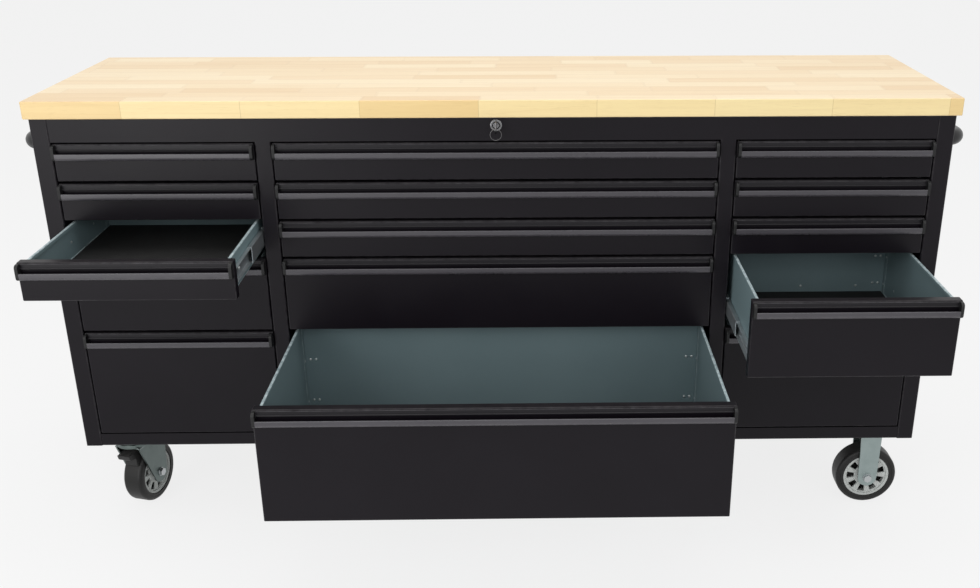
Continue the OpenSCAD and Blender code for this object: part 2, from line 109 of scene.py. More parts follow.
def stretch(tree, vector, scale):
    return addNode(tree, "ShaderNodeMapping", {"Vector": vector, "Scale": scale}).outputs[0]


def noise(tree, vector, scale, detail, roughness, distortion=0.0):
    values = {"Vector": vector, "Scale": scale, "Detail": detail, "Roughness": roughness,
              "Distortion": distortion}
    return addNode(tree, "ShaderNodeTexNoise", values).outputs["Fac"]


def startGroup(name, inputs, outputs):
    group = bpy.data.node_groups.new(name, "ShaderNodeTree")
    for socketName, default in inputs.items():
        socket = group.interface.new_socket(name=socketName, in_out="INPUT", socket_type="NodeSocketFloat")
        socket.default_value = default
    for socketName in outputs:
        group.interface.new_socket(name=socketName, in_out="OUTPUT", socket_type="NodeSocketFloat")
    return group, group.nodes.new("NodeGroupInput").outputs, group.nodes.new("NodeGroupOutput").inputs


def makePowderGrain():  # the orange-peel of baked powder paint, with slow cloudy variation
    sockets = {"Scale": 900.0, "Cloud Scale": 6.0}
    group, given, result = startGroup("powderGrain", sockets, ["Height", "Cloud"])
    place = objectPlace(group)
    fine = noise(group, place, given["Scale"], detail=3.0, roughness=0.6)
    coarser = times(group, given["Scale"], 0.45)
    pebble = addNode(group, "ShaderNodeTexVoronoi", {"Vector": place, "Scale": coarser}, feature="SMOOTH_F1")
    pebbled = times(group, pebble.outputs["Distance"], 0.6)
    feed(group, result["Height"], mathNode(group, "ADD", times(group, fine, 0.6), pebbled))
    feed(group, result["Cloud"], noise(group, place, given["Cloud Scale"], detail=4.0, roughness=0.55))
    return group


def makeEdgeWearAndHighlight():  # rubbed fold lines, and on the trays a painted highlight along the folds and hem tops: reads the edge marks that the bevels leave on a piece
    group, given, result = startGroup("edgeWearAndHighlight", {"Amount": 0.5, "Scale": 60.0}, ["Mask"])
    mark = addNode(group, "ShaderNodeAttribute", attribute_name="foldEdge").outputs["Fac"]
    patch = noise(group, objectPlace(group), given["Scale"], detail=5.0, roughness=0.65)
    broken = mathNode(group, "SUBTRACT", times(group, patch, 2.6), 0.8, clamp=True)
    feed(group, result["Mask"], times(group, times(group, mark, broken), given["Amount"]))
    return group


def makeSettledDust():  # pale film on faces that look up
    group, given, result = startGroup("settledDust", {"Amount": 0.15}, ["Mask"])
    speck = noise(group, objectPlace(group), scale=35.0, detail=6.0, roughness=0.7)
    facing = axesOf(group, addNode(group, "ShaderNodeNewGeometry").outputs["True Normal"])
    up = mathNode(group, "POWER", mathNode(group, "MAXIMUM", facing["Z"], 0.0), 3.0)
    feed(group, result["Mask"], times(group, times(group, up, speck), given["Amount"]))
    return group


powderGrain = makePowderGrain()
edgeWearAndHighlight = makeEdgeWearAndHighlight()
settledDust = makeSettledDust()


def placeGroup(tree, group, **values):
    node = addNode(tree, "ShaderNodeGroup", node_tree=group)
    for name, value in values.items():
        node.inputs[name.replace("_", " ")].default_value = value
    return node.outputs


def startMaterial(name, **sockets):
    material = bpy.data.materials.new(name)
    tree = nodeTree(material)
    values = {socketName.replace("_", " "): value for socketName, value in sockets.items()}
    shader = addNode(tree, "ShaderNodeBsdfPrincipled", values)
    addNode(tree, "ShaderNodeOutputMaterial", {0: shader.outputs[0]})
    return material, tree, shader


def addBump(tree, shader, height, strength, distance):
    bump = addNode(tree, "ShaderNodeBump", {"Strength": strength, "Distance": distance, "Height": height})
    feed(tree, shader.inputs["Normal"], bump.outputs[0])


def makePaint(name, look):
    dustTone = (0.42, 0.41, 0.40)
    material, tree, shader = startMaterial(name, IOR=1.5, Specular_IOR_Level=look["shine"])
    grain = placeGroup(tree, powderGrain, Scale=look["grain"], Cloud_Scale=5.0)
    scuffAndHighlight = placeGroup(tree, edgeWearAndHighlight, Amount=look["scuffAndHighlight"], Scale=70.0)["Mask"]
    dust = placeGroup(tree, settledDust, Amount=look["dust"])["Mask"]
    tone = mixColour(tree, grain["Cloud"], look["dark"], look["light"])
    rubbedAndLit = mixColour(tree, scuffAndHighlight, tone, look["rubbedAndLit"])
    feed(tree, shader.inputs["Base Color"], mixColour(tree, dust, rubbedAndLit, dustTone))
    rough = mathNode(tree, "ADD", look["rough"] - 0.08, times(tree, grain["Cloud"], 0.16))
    feed(tree, shader.inputs["Roughness"], mathNode(tree, "SUBTRACT", rough, times(tree, scuffAndHighlight, 0.15)))
    addBump(tree, shader, grain["Height"], look["bump"], distance=0.0003)
    return material


bodyPaint = makePaint("bodyPaint", {
    "dark": (0.0046, 0.0034, 0.0054), "light": (0.0076, 0.0060, 0.0088), "rubbedAndLit": (0.07, 0.066, 0.07),
    "rough": 0.34, "shine": 0.17, "grain": 900.0, "bump": 0.20, "scuffAndHighlight": 0.35, "dust": 0.04})
# the trays' pale rubbed tone at full amount is a painted highlight on their folds and hem tops
trayPaint = makePaint("trayPaint", {
    "dark": (0.150, 0.214, 0.230), "light": (0.186, 0.258, 0.276), "rubbedAndLit": (0.58, 0.68, 0.70),
    "rough": 0.42, "shine": 0.45, "grain": 700.0, "bump": 0.20, "scuffAndHighlight": 1.0, "dust": 0.06})
# the pull shares the body's black; this lighter tone is a painted sheen on the lip
pullPaintedSheen = makePaint("pullPaintedSheen", {
    "dark": (0.040, 0.037, 0.044), "light": (0.056, 0.052, 0.061), "rubbedAndLit": (0.13, 0.126, 0.133),
    "rough": 0.30, "shine": 0.5, "grain": 1200.0, "bump": 0.12, "scuffAndHighlight": 0.25, "dust": 0.05})
stripPaint = makePaint("stripPaint", {
    "dark": (0.0070, 0.0062, 0.0080), "light": (0.0110, 0.0098, 0.0124), "rubbedAndLit": (0.10, 0.095, 0.105),
    "rough": 0.36, "shine": 0.22, "grain": 1200.0, "bump": 0.12, "scuffAndHighlight": 0.5, "dust": 0.05})
handlePaint = makePaint("handlePaint", {
    "dark": (0.010, 0.010, 0.011), "light": (0.017, 0.017, 0.018), "rubbedAndLit": (0.08, 0.08, 0.08),
    "rough": 0.34, "shine": 0.4, "grain": 1100.0, "bump": 0.12, "scuffAndHighlight": 0.3, "dust": 0.06})
capPlastic = makePaint("capPlastic", {
    "dark": (0.006, 0.006, 0.0065), "light": (0.010, 0.010, 0.0105), "rubbedAndLit": (0.04, 0.04, 0.04),
    "rough": 0.50, "shine": 0.3, "grain": 1500.0, "bump": 0.25, "scuffAndHighlight": 0.3, "dust": 0.05})
print("paints ready")


def makeBoardWood():
    look = {"stave": 0.044, "shortest": 0.20, "longest": 0.46, "finger": 0.006, "fingerPitch": 0.011,
            "joint": 0.00045, "rough": 0.42, "figure": (0.50, 0.30, 0.12), "pore": (0.33, 0.19, 0.08),
            "glue": (0.36, 0.21, 0.09), "edge": (0.965, 0.965, 0.78), "rowShift": 5.0, "blockShift": 7.3}
    tints = [(0.0, (0.80, 0.59, 0.33)), (0.3, (0.84, 0.645, 0.385)),
             (0.6, (0.87, 0.69, 0.43)), (1.0, (0.90, 0.745, 0.49))]
    material, tree, shader = startMaterial("boardWood", IOR=1.48, Coat_Weight=0.35, Coat_Roughness=0.3)
    given = addNode(tree, "ShaderNodeTexCoord").outputs
    x, y = axesOf(tree, given["Object"])[:2]
    across = mathNode(tree, "ADD", y, look["rowShift"])
    acrossStaves = mathNode(tree, "DIVIDE", across, look["stave"])
    row = mathNode(tree, "FLOOR", acrossStaves)
    rowNoise = addNode(tree, "ShaderNodeTexWhiteNoise", {"W": row}, noise_dimensions="1D").outputs["Value"]
    spread = look["longest"] - look["shortest"]
    lengthHere = mathNode(tree, "MULTIPLY_ADD", rowNoise, spread, look["shortest"])
    zigzag = mathNode(tree, "PINGPONG", across, look["fingerPitch"] / 2)
    fingered = mathNode(tree, "MULTIPLY_ADD", zigzag, 2 * look["finger"] / look["fingerPitch"], x)
    rowStart = mathNode(tree, "MULTIPLY_ADD", rowNoise, look["blockShift"], 10.0)
    alongStave = mathNode(tree, "DIVIDE", mathNode(tree, "ADD", fingered, rowStart), lengthHere)
    key = addNode(tree, "ShaderNodeCombineXYZ", {0: row, 1: mathNode(tree, "FLOOR", alongStave)}).outputs[0]
    block = addNode(tree, "ShaderNodeTexWhiteNoise", {"Vector": key}, noise_dimensions="3D").outputs
    tint = ramp(tree, block["Value"], tints)
    # grain runs along X and starts afresh in each block
    fresh = {0: block["Color"], 1: (9.0, 9.0, 9.0), 2: given["Object"]}
    start = addNode(tree, "ShaderNodeVectorMath", fresh, operation="MULTIPLY_ADD").outputs[0]
    bands, dashes = stretch(tree, start, (1.6, 42.0, 42.0)), stretch(tree, start, (35.0, 900.0, 900.0))
    figure = noise(tree, bands, scale=2.2, detail=6.0, roughness=0.62, distortion=0.9)
    pore = noise(tree, dashes, scale=1.0, detail=2.0, roughness=0.5)
    poreMask = mathNode(tree, "SUBTRACT", pore, 0.60, clamp=True)
    poreMask = mathNode(tree, "MULTIPLY", poreMask, 2.4, clamp=True)
    figured = mixColour(tree, times(tree, figure, 0.55), tint, look["figure"], "MULTIPLY")
    figured = mixColour(tree, mathNode(tree, "MULTIPLY_ADD", figure, 0.7, -0.15, clamp=True), tint, figured)
    pored = mixColour(tree, times(tree, poreMask, 0.5), figured, look["pore"])
    # thin glue lines between staves and at the finger joints
    rowEdge = times(tree, mathNode(tree, "PINGPONG", acrossStaves, 0.5), look["stave"])
    endEdge = times(tree, mathNode(tree, "PINGPONG", alongStave, 0.5), lengthHere)
    glue = mathNode(tree, "LESS_THAN", mathNode(tree, "MINIMUM", rowEdge, endEdge), look["joint"])
    glued = mixColour(tree, times(tree, glue, 0.45), pored, look["glue"])
    flat = mathNode(tree, "ABSOLUTE", axesOf(tree, given["Normal"])["Z"])
    upright = mathNode(tree, "SUBTRACT", 1.0, flat, clamp=True)  # the upright edges are painted a deeper yellow than the top: painted shading for the sheen that pales the flat top
    feed(tree, shader.inputs["Base Color"], mixColour(tree, upright, glued, look["edge"], "MULTIPLY"))
    rough = mathNode(tree, "MULTIPLY_ADD", figure, 0.18, look["rough"] - 0.09)
    feed(tree, shader.inputs["Roughness"], rough)
    sunk = mathNode(tree, "ADD", times(tree, poreMask, 0.5), times(tree, glue, 0.6))
    relief = mathNode(tree, "SUBTRACT", times(tree, figure, 0.4), sunk)
    addBump(tree, shader, relief, strength=0.25, distance=0.0006)
    return material


def makeMetal(name, look):
    material, tree, shader = startMaterial(name, Metallic=1.0)
    place = objectPlace(tree)
    streak = noise(tree, stretch(tree, place, look["streak"]), scale=1.0, detail=4.0, roughness=0.6)
    bloom = noise(tree, place, look["bloomScale"], detail=5.0, roughness=0.6)
    scuffAndHighlight = placeGroup(tree, edgeWearAndHighlight, Amount=0.5, Scale=90.0)["Mask"]
    tone = mixColour(tree, bloom, look["dark"], look["light"])
    feed(tree, shader.inputs["Base Color"], mixColour(tree, scuffAndHighlight, tone, look["rubbedAndLit"]))
    rough = mathNode(tree, "MULTIPLY_ADD", streak, look["roughSpan"], look["rough"] - 0.06)
    feed(tree, shader.inputs["Roughness"], mathNode(tree, "MULTIPLY_ADD", bloom, 0.12, rough))
    addBump(tree, shader, streak, look["bump"], distance=0.0002)
    return material


boardWood = makeBoardWood()
zincPlate = makeMetal("zincPlate", {
    "dark": (0.22, 0.27, 0.265), "light": (0.35, 0.41, 0.405), "rubbedAndLit": (0.60, 0.64, 0.64),
    "streak": (90.0, 90.0, 260.0), "bloomScale": 40.0, "rough": 0.30, "roughSpan": 0.18, "bump": 0.10})
# a darker copy of zincPlate: painted shade on the swivel forks and tops
swivelZincShaded = makeMetal("swivelZincShaded", {
    "dark": (0.095, 0.118, 0.114), "light": (0.155, 0.184, 0.178), "rubbedAndLit": (0.40, 0.43, 0.43),
    "streak": (90.0, 90.0, 260.0), "bloomScale": 40.0, "rough": 0.32, "roughSpan": 0.18, "bump": 0.10})
runnerZinc = makeMetal("runnerZinc", {
    "dark": (0.42, 0.46, 0.48), "light": (0.58, 0.62, 0.64), "rubbedAndLit": (0.78, 0.80, 0.81),
    "streak": (500.0, 12.0, 500.0), "bloomScale": 25.0, "rough": 0.38, "roughSpan": 0.16, "bump": 0.12})
boltSteel = makeMetal("boltSteel", {
    "dark": (0.36, 0.38, 0.39), "light": (0.52, 0.54, 0.55), "rubbedAndLit": (0.7, 0.7, 0.7),
    "streak": (150.0, 150.0, 150.0), "bloomScale": 90.0, "rough": 0.32, "roughSpan": 0.15, "bump": 0.10})
rivetZinc = makeMetal("rivetZinc", {
    "dark": (0.66, 0.70, 0.70), "light": (0.80, 0.83, 0.83), "rubbedAndLit": (0.9, 0.9, 0.9),
    "streak": (200.0, 200.0, 200.0), "bloomScale": 120.0, "rough": 0.42, "roughSpan": 0.12, "bump": 0.05})
lockChrome = makeMetal("lockChrome", {
    "dark": (0.17, 0.17, 0.175), "light": (0.26, 0.26, 0.265), "rubbedAndLit": (0.52, 0.52, 0.52),
    "streak": (300.0, 300.0, 300.0), "bloomScale": 120.0, "rough": 0.16, "roughSpan": 0.12, "bump": 0.03})
keyNickel = makeMetal("keyNickel", {
    "dark": (0.085, 0.083, 0.086), "light": (0.15, 0.147, 0.15), "rubbedAndLit": (0.40, 0.39, 0.38),
    "streak": (600.0, 60.0, 600.0), "bloomScale": 150.0, "rough": 0.22, "roughSpan": 0.18, "bump": 0.06})


def makeRubber(name, look):
    dustTone = (0.30, 0.29, 0.28)
    material, tree, shader = startMaterial(name, IOR=1.5, Specular_IOR_Level=0.3)
    grain = placeGroup(tree, powderGrain, Scale=look["grain"], Cloud_Scale=look["cloud"])
    dust = placeGroup(tree, settledDust, Amount=look["dust"])["Mask"]
    tone = mixColour(tree, grain["Cloud"], look["dark"], look["light"])
    feed(tree, shader.inputs["Base Color"], mixColour(tree, dust, tone, dustTone))
    rough = mathNode(tree, "MULTIPLY_ADD", grain["Cloud"], 0.2, look["rough"] - 0.1)
    feed(tree, shader.inputs["Roughness"], rough)
    height = grain["Height"]
    if look.get("rib"):
        ribs = mathNode(tree, "PINGPONG", axesOf(tree, objectPlace(tree))["X"], look["rib"] / 2)
        height = mathNode(tree, "MULTIPLY_ADD", ribs, 2.0 / look["rib"], times(tree, height, 0.25))
    addBump(tree, shader, height, look["bump"], distance=0.0005)
    return material


tyreRubber = makeRubber("tyreRubber", {
    "dark": (0.006, 0.006, 0.006), "light": (0.013, 0.0125, 0.012), "rough": 0.46,
    "grain": 500.0, "cloud": 25.0, "dust": 0.12, "bump": 0.25})
matRubber = makeRubber("matRubber", {
    "dark": (0.009, 0.009, 0.009), "light": (0.016, 0.016, 0.016), "rough": 0.72,
    "grain": 900.0, "cloud": 9.0, "dust": 0.05, "bump": 0.5, "rib": 0.004})
rimNylon = makeRubber("rimNylon", {
    "dark": (0.47, 0.49, 0.475), "light": (0.58, 0.60, 0.585), "rough": 0.45,
    "grain": 900.0, "cloud": 30.0, "dust": 0.2, "bump": 0.10})
pedalNylon = makeRubber("pedalNylon", {
    "dark": (0.012, 0.012, 0.012), "light": (0.022, 0.022, 0.022), "rough": 0.5,
    "grain": 1300.0, "cloud": 20.0, "dust": 0.2, "bump": 0.2})
print("materials ready:", len(bpy.data.materials))


def newSheet():
    bm = bmesh.new()
    bm.faces.layers.float.new("foldEdge")
    return bm


def markFold(bm, faces):  # where the paint gets rubbed, and on the trays a painted highlight
    layer = bm.faces.layers.float["foldEdge"]
    for face in faces:
        face[layer] = 1.0


def moveAll(bm, place):
    bmesh.ops.transform(bm, matrix=place, verts=list(bm.verts))


def pour(target, source, place=None):  # adds a finished bmesh to another
    if place is not None:
        moveAll(source, place)
    mesh = bpy.data.meshes.new("pour")
    source.to_mesh(mesh)
    source.free()
    target.from_mesh(mesh)
    bpy.data.meshes.remove(mesh)


def onlyKind(parts, kind):
    return [part for part in parts if isinstance(part, kind)]


def ease(bm, edges, soft, segments=2, clamp=True, rubbedAndLit=True):  # rounds edges and marks them
    made = bmesh.ops.bevel(bm, geom=edges, offset=soft, offset_type="OFFSET", segments=segments, profile=0.5,
                           affect="EDGES", clamp_overlap=clamp, material=-1)
    if rubbedAndLit:
        markFold(bm, made["faces"])


def faceOut(bm):
    bmesh.ops.recalc_face_normals(bm, faces=list(bm.faces))


def trim(bm, place, away, **settings):
    parts = [*bm.verts, *bm.edges, *bm.faces]
    bmesh.ops.bisect_plane(bm, geom=parts, plane_co=Vector(place), plane_no=Vector(away), **settings)


def aim(place, normal):  # a frame whose Z runs along the normal
    return Matrix.Translation(place) @ Vector(normal).to_track_quat("Z", "Y").to_matrix().to_4x4()


def tipped(place, axis):  # a frame turned a quarter about one axis
    return Matrix.Translation(place) @ Matrix.Rotation(math.pi / 2, 4, axis)


def addCube(bm, middle, size):
    bmesh.ops.create_cube(bm, size=1.0, matrix=Matrix.Translation(middle) @ Matrix.Diagonal((*size, 1.0)))


def softBlock(target, low, high, soft, segments=2):
    bm = newSheet()
    addCube(bm, [(a + b) / 2 for a, b in zip(low, high)], [b - a for a, b in zip(low, high)])
    ease(bm, list(bm.edges), soft, segments)
    pour(target, bm)


def pushEdges(bm, edges, along):  # extrudes edges and gives back the new vertices
    grown = bmesh.ops.extrude_edge_only(bm, edges=edges)
    moved = onlyKind(grown["geom"], bmesh.types.BMVert)
    bmesh.ops.translate(bm, verts=moved, vec=Vector(along))
    return moved


def foldSheet(target, chain, along, bends, gauge, outward, segments=4, cuts=()):
    bm = newSheet()  # the chain is the outer surface, and outward is where its first stretch faces
    verts = [bm.verts.new(point) for point in chain]
    edges = [bm.edges.new(pair) for pair in zip(verts, verts[1:])]
    moved = pushEdges(bm, edges, along)
    bm.normal_update()
    middle = (Vector(chain[0]) + Vector(chain[1]) + Vector(along)) / 2
    first = min(bm.faces, key=lambda face: (face.calc_center_median() - middle).length)
    if first.normal.dot(Vector(outward)) < 0:
        bmesh.ops.reverse_faces(bm, faces=list(bm.faces))
    folds = [next(edge for edge in vert.link_edges if edge.other_vert(vert) in moved) for vert in verts[1:-1]]
    for fold, bend in zip(folds, bends):
        ease(bm, [fold], bend, segments, clamp=False)
    for place, away in cuts:  # trims the sheet before it gets its gauge
        trim(bm, place, away, clear_outer=True)
    bm.normal_update()
    bmesh.ops.solidify(bm, geom=list(bm.faces), thickness=gauge)
    pour(target, bm)


def domeHead(target, centre, normal, radius, rise):
    bm = newSheet()
    shape = aim(centre, normal) @ Matrix.Diagonal((radius, radius, rise, 1.0))
    bmesh.ops.create_uvsphere(bm, u_segments=12, v_segments=6, radius=1.0, matrix=shape)
    trim(bm, centre, normal, dist=rise / 50, clear_inner=True)
    bmesh.ops.edgeloop_fill(bm, edges=[edge for edge in bm.edges if edge.is_boundary])
    faceOut(bm)
    pour(target, bm)


def spinAll(bm, steps):
    bmesh.ops.spin(bm, geom=[*bm.verts, *bm.edges], cent=(0, 0, 0), axis=(0, 0, 1), dvec=(0, 0, 0),
                   angle=2 * math.pi, steps=steps, use_merge=True, use_duplicate=False)
    bmesh.ops.remove_doubles(bm, verts=list(bm.verts), dist=0.000001)
    faceOut(bm)


def flatOutline(points, roundings, segments):  # one face with rounded corners
    bm = newSheet()
    verts = [bm.verts.new(point) for point in points]
    bm.faces.new(verts)
    for vert, rounding in zip(verts, roundings):
        if rounding:
            bmesh.ops.bevel(bm, geom=[vert], offset=rounding, offset_type="OFFSET", segments=segments,
                            profile=0.5, affect="VERTICES", clamp_overlap=False, material=-1)
    return bm


def turnSection(target, corners, place, steps):  # corners as (radius, height, rounding), turned about Z
    points = [(radius, 0.0, height) for radius, height, rounding in corners]
    bm = flatOutline(points, [corner[2] for corner in corners], 4)
    bmesh.ops.delete(bm, geom=list(bm.faces), context="FACES_ONLY")
    spinAll(bm, steps)
    pour(target, bm, place)


def band(inner, outer, low, high, innerSoft=0, outerSoft=0):  # corners of a plain ring
    return [(inner, low, innerSoft), (outer, low, outerSoft),
            (outer, high, outerSoft), (inner, high, innerSoft)]


def mirrored(upper):  # corners of a ring from its upper half
    return [(radius, -height, rounding) for radius, height, rounding in upper] + upper[::-1]


def thicken(bm, along, soft):  # gives a flat outline its thickness and eases both rims
    grown = bmesh.ops.extrude_face_region(bm, geom=list(bm.faces))
    bmesh.ops.translate(bm, verts=onlyKind(grown["geom"], bmesh.types.BMVert), vec=Vector(along))
    faceOut(bm)
    way, sharp, across = Vector(along).normalized(), 0.6, 0.1
    rims = [edge for edge in bm.edges if edge.calc_face_angle(0.0) > sharp
            and abs((edge.verts[0].co - edge.verts[1].co).normalized().dot(way)) < across]
    ease(bm, rims, soft)


def cutPlate(target, corners, low, high, soft, place):  # corners as (x, y, rounding)
    points = [(x, y, low) for x, y, rounding in corners]
    bm = flatOutline(points, [corner[2] for corner in corners], 5)
    thicken(bm, (0, 0, high - low), soft)
    pour(target, bm, place)


def hexHead(target, place, radius, rise, washer):
    look = {"flats": 0.94, "crown": 0.10, "hole": 0.5, "ease": 0.3}  # shares of the radius and the washer
    bm = newSheet()
    across = radius * look["flats"]
    bmesh.ops.create_cone(bm, cap_ends=True, segments=6, radius1=across, radius2=across, depth=rise - washer,
                          matrix=Matrix.Translation((0, 0, (rise + washer) / 2)))
    crown = [edge for edge in bm.edges if min(vert.co.z for vert in edge.verts) > rise - hair]
    ease(bm, crown, radius * look["crown"])
    pour(target, bm, place)
    hole = radius * look["hole"]
    ring = [(hole, 0, 0), (radius, 0, 0), (radius, washer, washer * look["ease"]), (hole, washer, 0)]
    turnSection(target, ring, place, steps=28)


def pushLoop(bm, edges, along):  # extrudes a loop and gives back its new edges
    moved = pushEdges(bm, edges, along)
    return [edge for edge in bm.edges if edge.verts[0] in moved and edge.verts[1] in moved]


def bendLoop(bm, edges, centre, angle):
    verts = list({vert for edge in edges for vert in edge.verts})
    turned = bmesh.ops.spin(bm, geom=verts + edges, cent=centre, axis=(0, 0, 1), dvec=(0, 0, 0), angle=angle,
                            steps=12, use_merge=False, use_duplicate=False)
    return onlyKind(turned["geom_last"], bmesh.types.BMEdge)


def finishPiece(name, bm, body, node, material):
    bmesh.ops.dissolve_degenerate(bm, dist=0.0000005, edges=list(bm.edges))
    for face in bm.faces:
        face.smooth = True
    mesh = bpy.data.meshes.new(name)
    bm.to_mesh(mesh)
    bm.free()
    mesh.set_sharp_from_angle(angle=math.radians(40.0))
    mesh.materials.append(material)
    piece = bpy.data.objects.new(name, mesh)
    bpy.context.scene.collection.objects.link(piece)
    level = piece.modifiers.new("evenNormals", "WEIGHTED_NORMAL")
    level.keep_sharp = True
    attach(piece, body)
    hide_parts(node)


def makeWorktop():
    look = {"round": 0.002}
    bm = newSheet()
    softBlock(bm, *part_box("worktop"), look["round"], segments=3)
    finishPiece("worktop_board", bm, "cabinet", "worktop", boardWood)


bodyLook = {"gauge": 0.0015, "bend": 0.003, "frontFold": 0.040, "rearFold": 0.085, "flange": 0.060,
            "foldEase": 0.0002, "panelEase": 0.0004, "rivet": 0.0036, "rivetRise": 0.0014,
            "rivetIn": 0.014, "rivetUp": 0.012, "rivetsAcross": 12, "rivetsUp": 5}


def bendBody(target, chain, along, outward):  # body sheet has one gauge and one bend
    foldSheet(target, chain, along, [bodyLook["bend"]] * (len(chain) - 2), bodyLook["gauge"], outward)


def finishBody(node, ending, bm):
    finishPiece(node + ending, bm, "cabinet", node, bodyPaint)


def makeSidePanels():
    look = bodyLook
    for side, name in ((-1, "left_side_panel"), (1, "right_side_panel")):
        low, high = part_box(name)
        skin, inner = (low.x, high.x) if side < 0 else (high.x, low.x)
        chain = [(inner, low.y + look["frontFold"], low.z), (inner, low.y, low.z), (skin, low.y, low.z),
                 (skin, high.y, low.z), (inner, high.y, low.z), (inner, high.y - look["rearFold"], low.z)]
        bm = newSheet()
        bendBody(bm, chain, (0, 0, high.z - low.z), (-side, 0, 0))
        finishBody(name, "_shell", bm)


def makeTopRail():
    low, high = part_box("top_rail")
    chain = [(low.x, low.y, low.z), (low.x, low.y, high.z), (low.x, low.y + bodyLook["flange"], high.z)]
    bm = newSheet()
    bendBody(bm, chain, (high.x - low.x, 0, 0), (0, -1, 0))
    finishBody("top_rail", "_fold", bm)


def makeBasePan():
    low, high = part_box("base_pan")
    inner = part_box("top_rail")[1].x
    front = low.y + bodyLook["frontFold"]
    bm = newSheet()
    chain = [(-inner, low.y, high.z), (-inner, low.y, low.z),
             (-inner, high.y, low.z), (-inner, high.y, high.z)]
    bendBody(bm, chain, (2 * inner, 0, 0), (0, -1, 0))
    for side in (-1, 1):  # a turned-up wing at each end, under the side panel
        wing = [(side * inner, front, low.z), (side * high.x, front, low.z), (side * high.x, front, high.z)]
        bendBody(bm, wing, (0, high.y - low.y - bodyLook["frontFold"] - bodyLook["rearFold"], 0), (0, 0, -1))
    finishBody("base_pan", "_fold", bm)


def makeDividers():
    look = bodyLook
    gauge, soft = look["gauge"], look["foldEase"]
    railLow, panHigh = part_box("top_rail")[0].z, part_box("base_pan")[1].z
    for name in ("left_divider", "right_divider"):
        low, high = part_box(name)
        middle, front, rear = (low.x + high.x) / 2, low.y + look["frontFold"], high.y - gauge
        bm = newSheet()
        chain = [(low.x, front, panHigh), (low.x, low.y, panHigh),
                 (high.x, low.y, panHigh), (high.x, front, panHigh)]
        bendBody(bm, chain, (0, 0, railLow - panHigh), (-1, 0, 0))
        for x in (low.x, high.x - gauge):
            for z0, z1 in ((low.z, panHigh), (railLow, high.z)):
                softBlock(bm, (x, low.y + gauge, z0), (x + gauge, front, z1), soft, segments=1)
            softBlock(bm, (x, high.y - look["rearFold"], low.z), (x + gauge, rear, high.z), soft, segments=1)
        softBlock(bm, (middle - gauge / 2, low.y + gauge, low.z), (middle + gauge / 2, rear, high.z),
                  soft, segments=1)
        softBlock(bm, (low.x, rear, panHigh), (high.x, high.y, railLow), soft, segments=1)
        finishBody(name, "_mullion", bm)


def makeBackPanel():
    look = bodyLook
    low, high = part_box("back_panel")
    left, right = low.x + look["rivetIn"], high.x - look["rivetIn"]
    bottom, top = low.z + look["rivetUp"], high.z - look["rivetUp"]
    bm = newSheet()
    softBlock(bm, low, high, look["panelEase"])
    shares = [i / look["rivetsAcross"] for i in range(look["rivetsAcross"] + 1)]
    places = [(left + (right - left) * share, z) for share in shares for z in (bottom, top)]
    shares = [i / look["rivetsUp"] for i in range(1, look["rivetsUp"])]
    places += [(x, bottom + (top - bottom) * share) for share in shares for x in (left, right)]
    for x, z in places:
        domeHead(bm, (x, high.y, z), (0, 1, 0), look["rivet"], look["rivetRise"])
    finishBody("back_panel", "_sheet", bm)


drawerLook = {
    "pullReach": 0.017, "frontDepth": 0.0192, "faceRound": 0.0022, "topEase": 0.0016,  # front
    "pullOut": 0.0138, "pullLow": 0.0335, "pullLip": 0.0190, "pullTop": 0.0036,  # hooked pull
    "lipGauge": 0.003, "lipBend": 0.007, "lipEase": 0.0013,
    "stripLow": 0.0128, "strip": 0.0022, "stripEase": 0.0008, "beadRadius": 0.0017,  # strip over the channel
    "capWidth": 0.006, "capInset": 0.0008, "capTop": 0.003, "capEase": 0.0008, "capFlat": 0.0005,  # end caps
    "trayInset": 0.010, "floorLift": 0.006, "wallDrop": 0.003, "depth": 0.425, "gauge": 0.0012,  # tray
    "hem": 0.0055, "hemDrop": 0.007, "hemBend": 0.0016, "wallBend": 0.003, "rearLip": 0.009,
    "flange": 0.018, "flangeGauge": 0.001, "flangeEase": 0.0004,
    "matGap": 0.0042, "matFront": 0.003, "mat": 0.002, "matEase": 0.0007,  # liner
    "memberHigh": 0.0286, "memberReach": 0.0084, "memberRise": 0.038625,  # slide member on the tray's side
    "memberStart": 0.022, "memberLong": 0.395}


def finishDrawer(name, ending, bm, material):
    finishPiece(name + ending, bm, name, name, material)


def makeDrawerFront(name, low, high, face):
    look = drawerLook
    bm = newSheet()
    top = high.z - look["topEase"]
    softBlock(bm, (low.x, face, low.z), (high.x, face + look["frontDepth"], top),
              look["faceRound"], segments=4)
    finishDrawer(name, "_front", bm, bodyPaint)


def pullSpan(low, high):  # between the end caps
    inset, width = drawerLook["capInset"], drawerLook["capWidth"]
    return low.x + inset + width, high.x - inset - width


def makePull(name, low, high, face):
    look = drawerLook
    x0, x1 = pullSpan(low, high)
    out, bottom, lipTop = face - look["pullOut"], high.z - look["pullLow"], high.z - look["pullLip"]
    bm = newSheet()
    foldSheet(bm, [(x0, face, bottom), (x0, out, bottom), (x0, out, lipTop)], (x1 - x0, 0, 0),
              [look["lipBend"]], look["lipGauge"], (0, 0, -1), segments=8)
    lip = [edge for edge in bm.edges if edge.calc_length() > 0.1
           and all(abs(vert.co.z - lipTop) < hair for vert in edge.verts)]
    ease(bm, lip, look["lipEase"], segments=4)
    finishDrawer(name, "_pull", bm, pullPaintedSheen)


def makePullStrip(name, low, high, face):
    look = drawerLook
    x0, x1 = pullSpan(low, high)
    out, bottom, bead = face - look["strip"], high.z - look["stripLow"], look["beadRadius"]
    bm = newSheet()
    softBlock(bm, (x0, out, bottom), (x1, face, high.z - look["pullTop"]), look["stripEase"], segments=3)
    bmesh.ops.create_cone(bm, cap_ends=True, segments=20, radius1=bead, radius2=bead, depth=x1 - x0,
                          matrix=tipped(((x0 + x1) / 2, out, bottom), "Y"))  # rolled lower edge
    finishDrawer(name, "_pull_strip", bm, stripPaint)


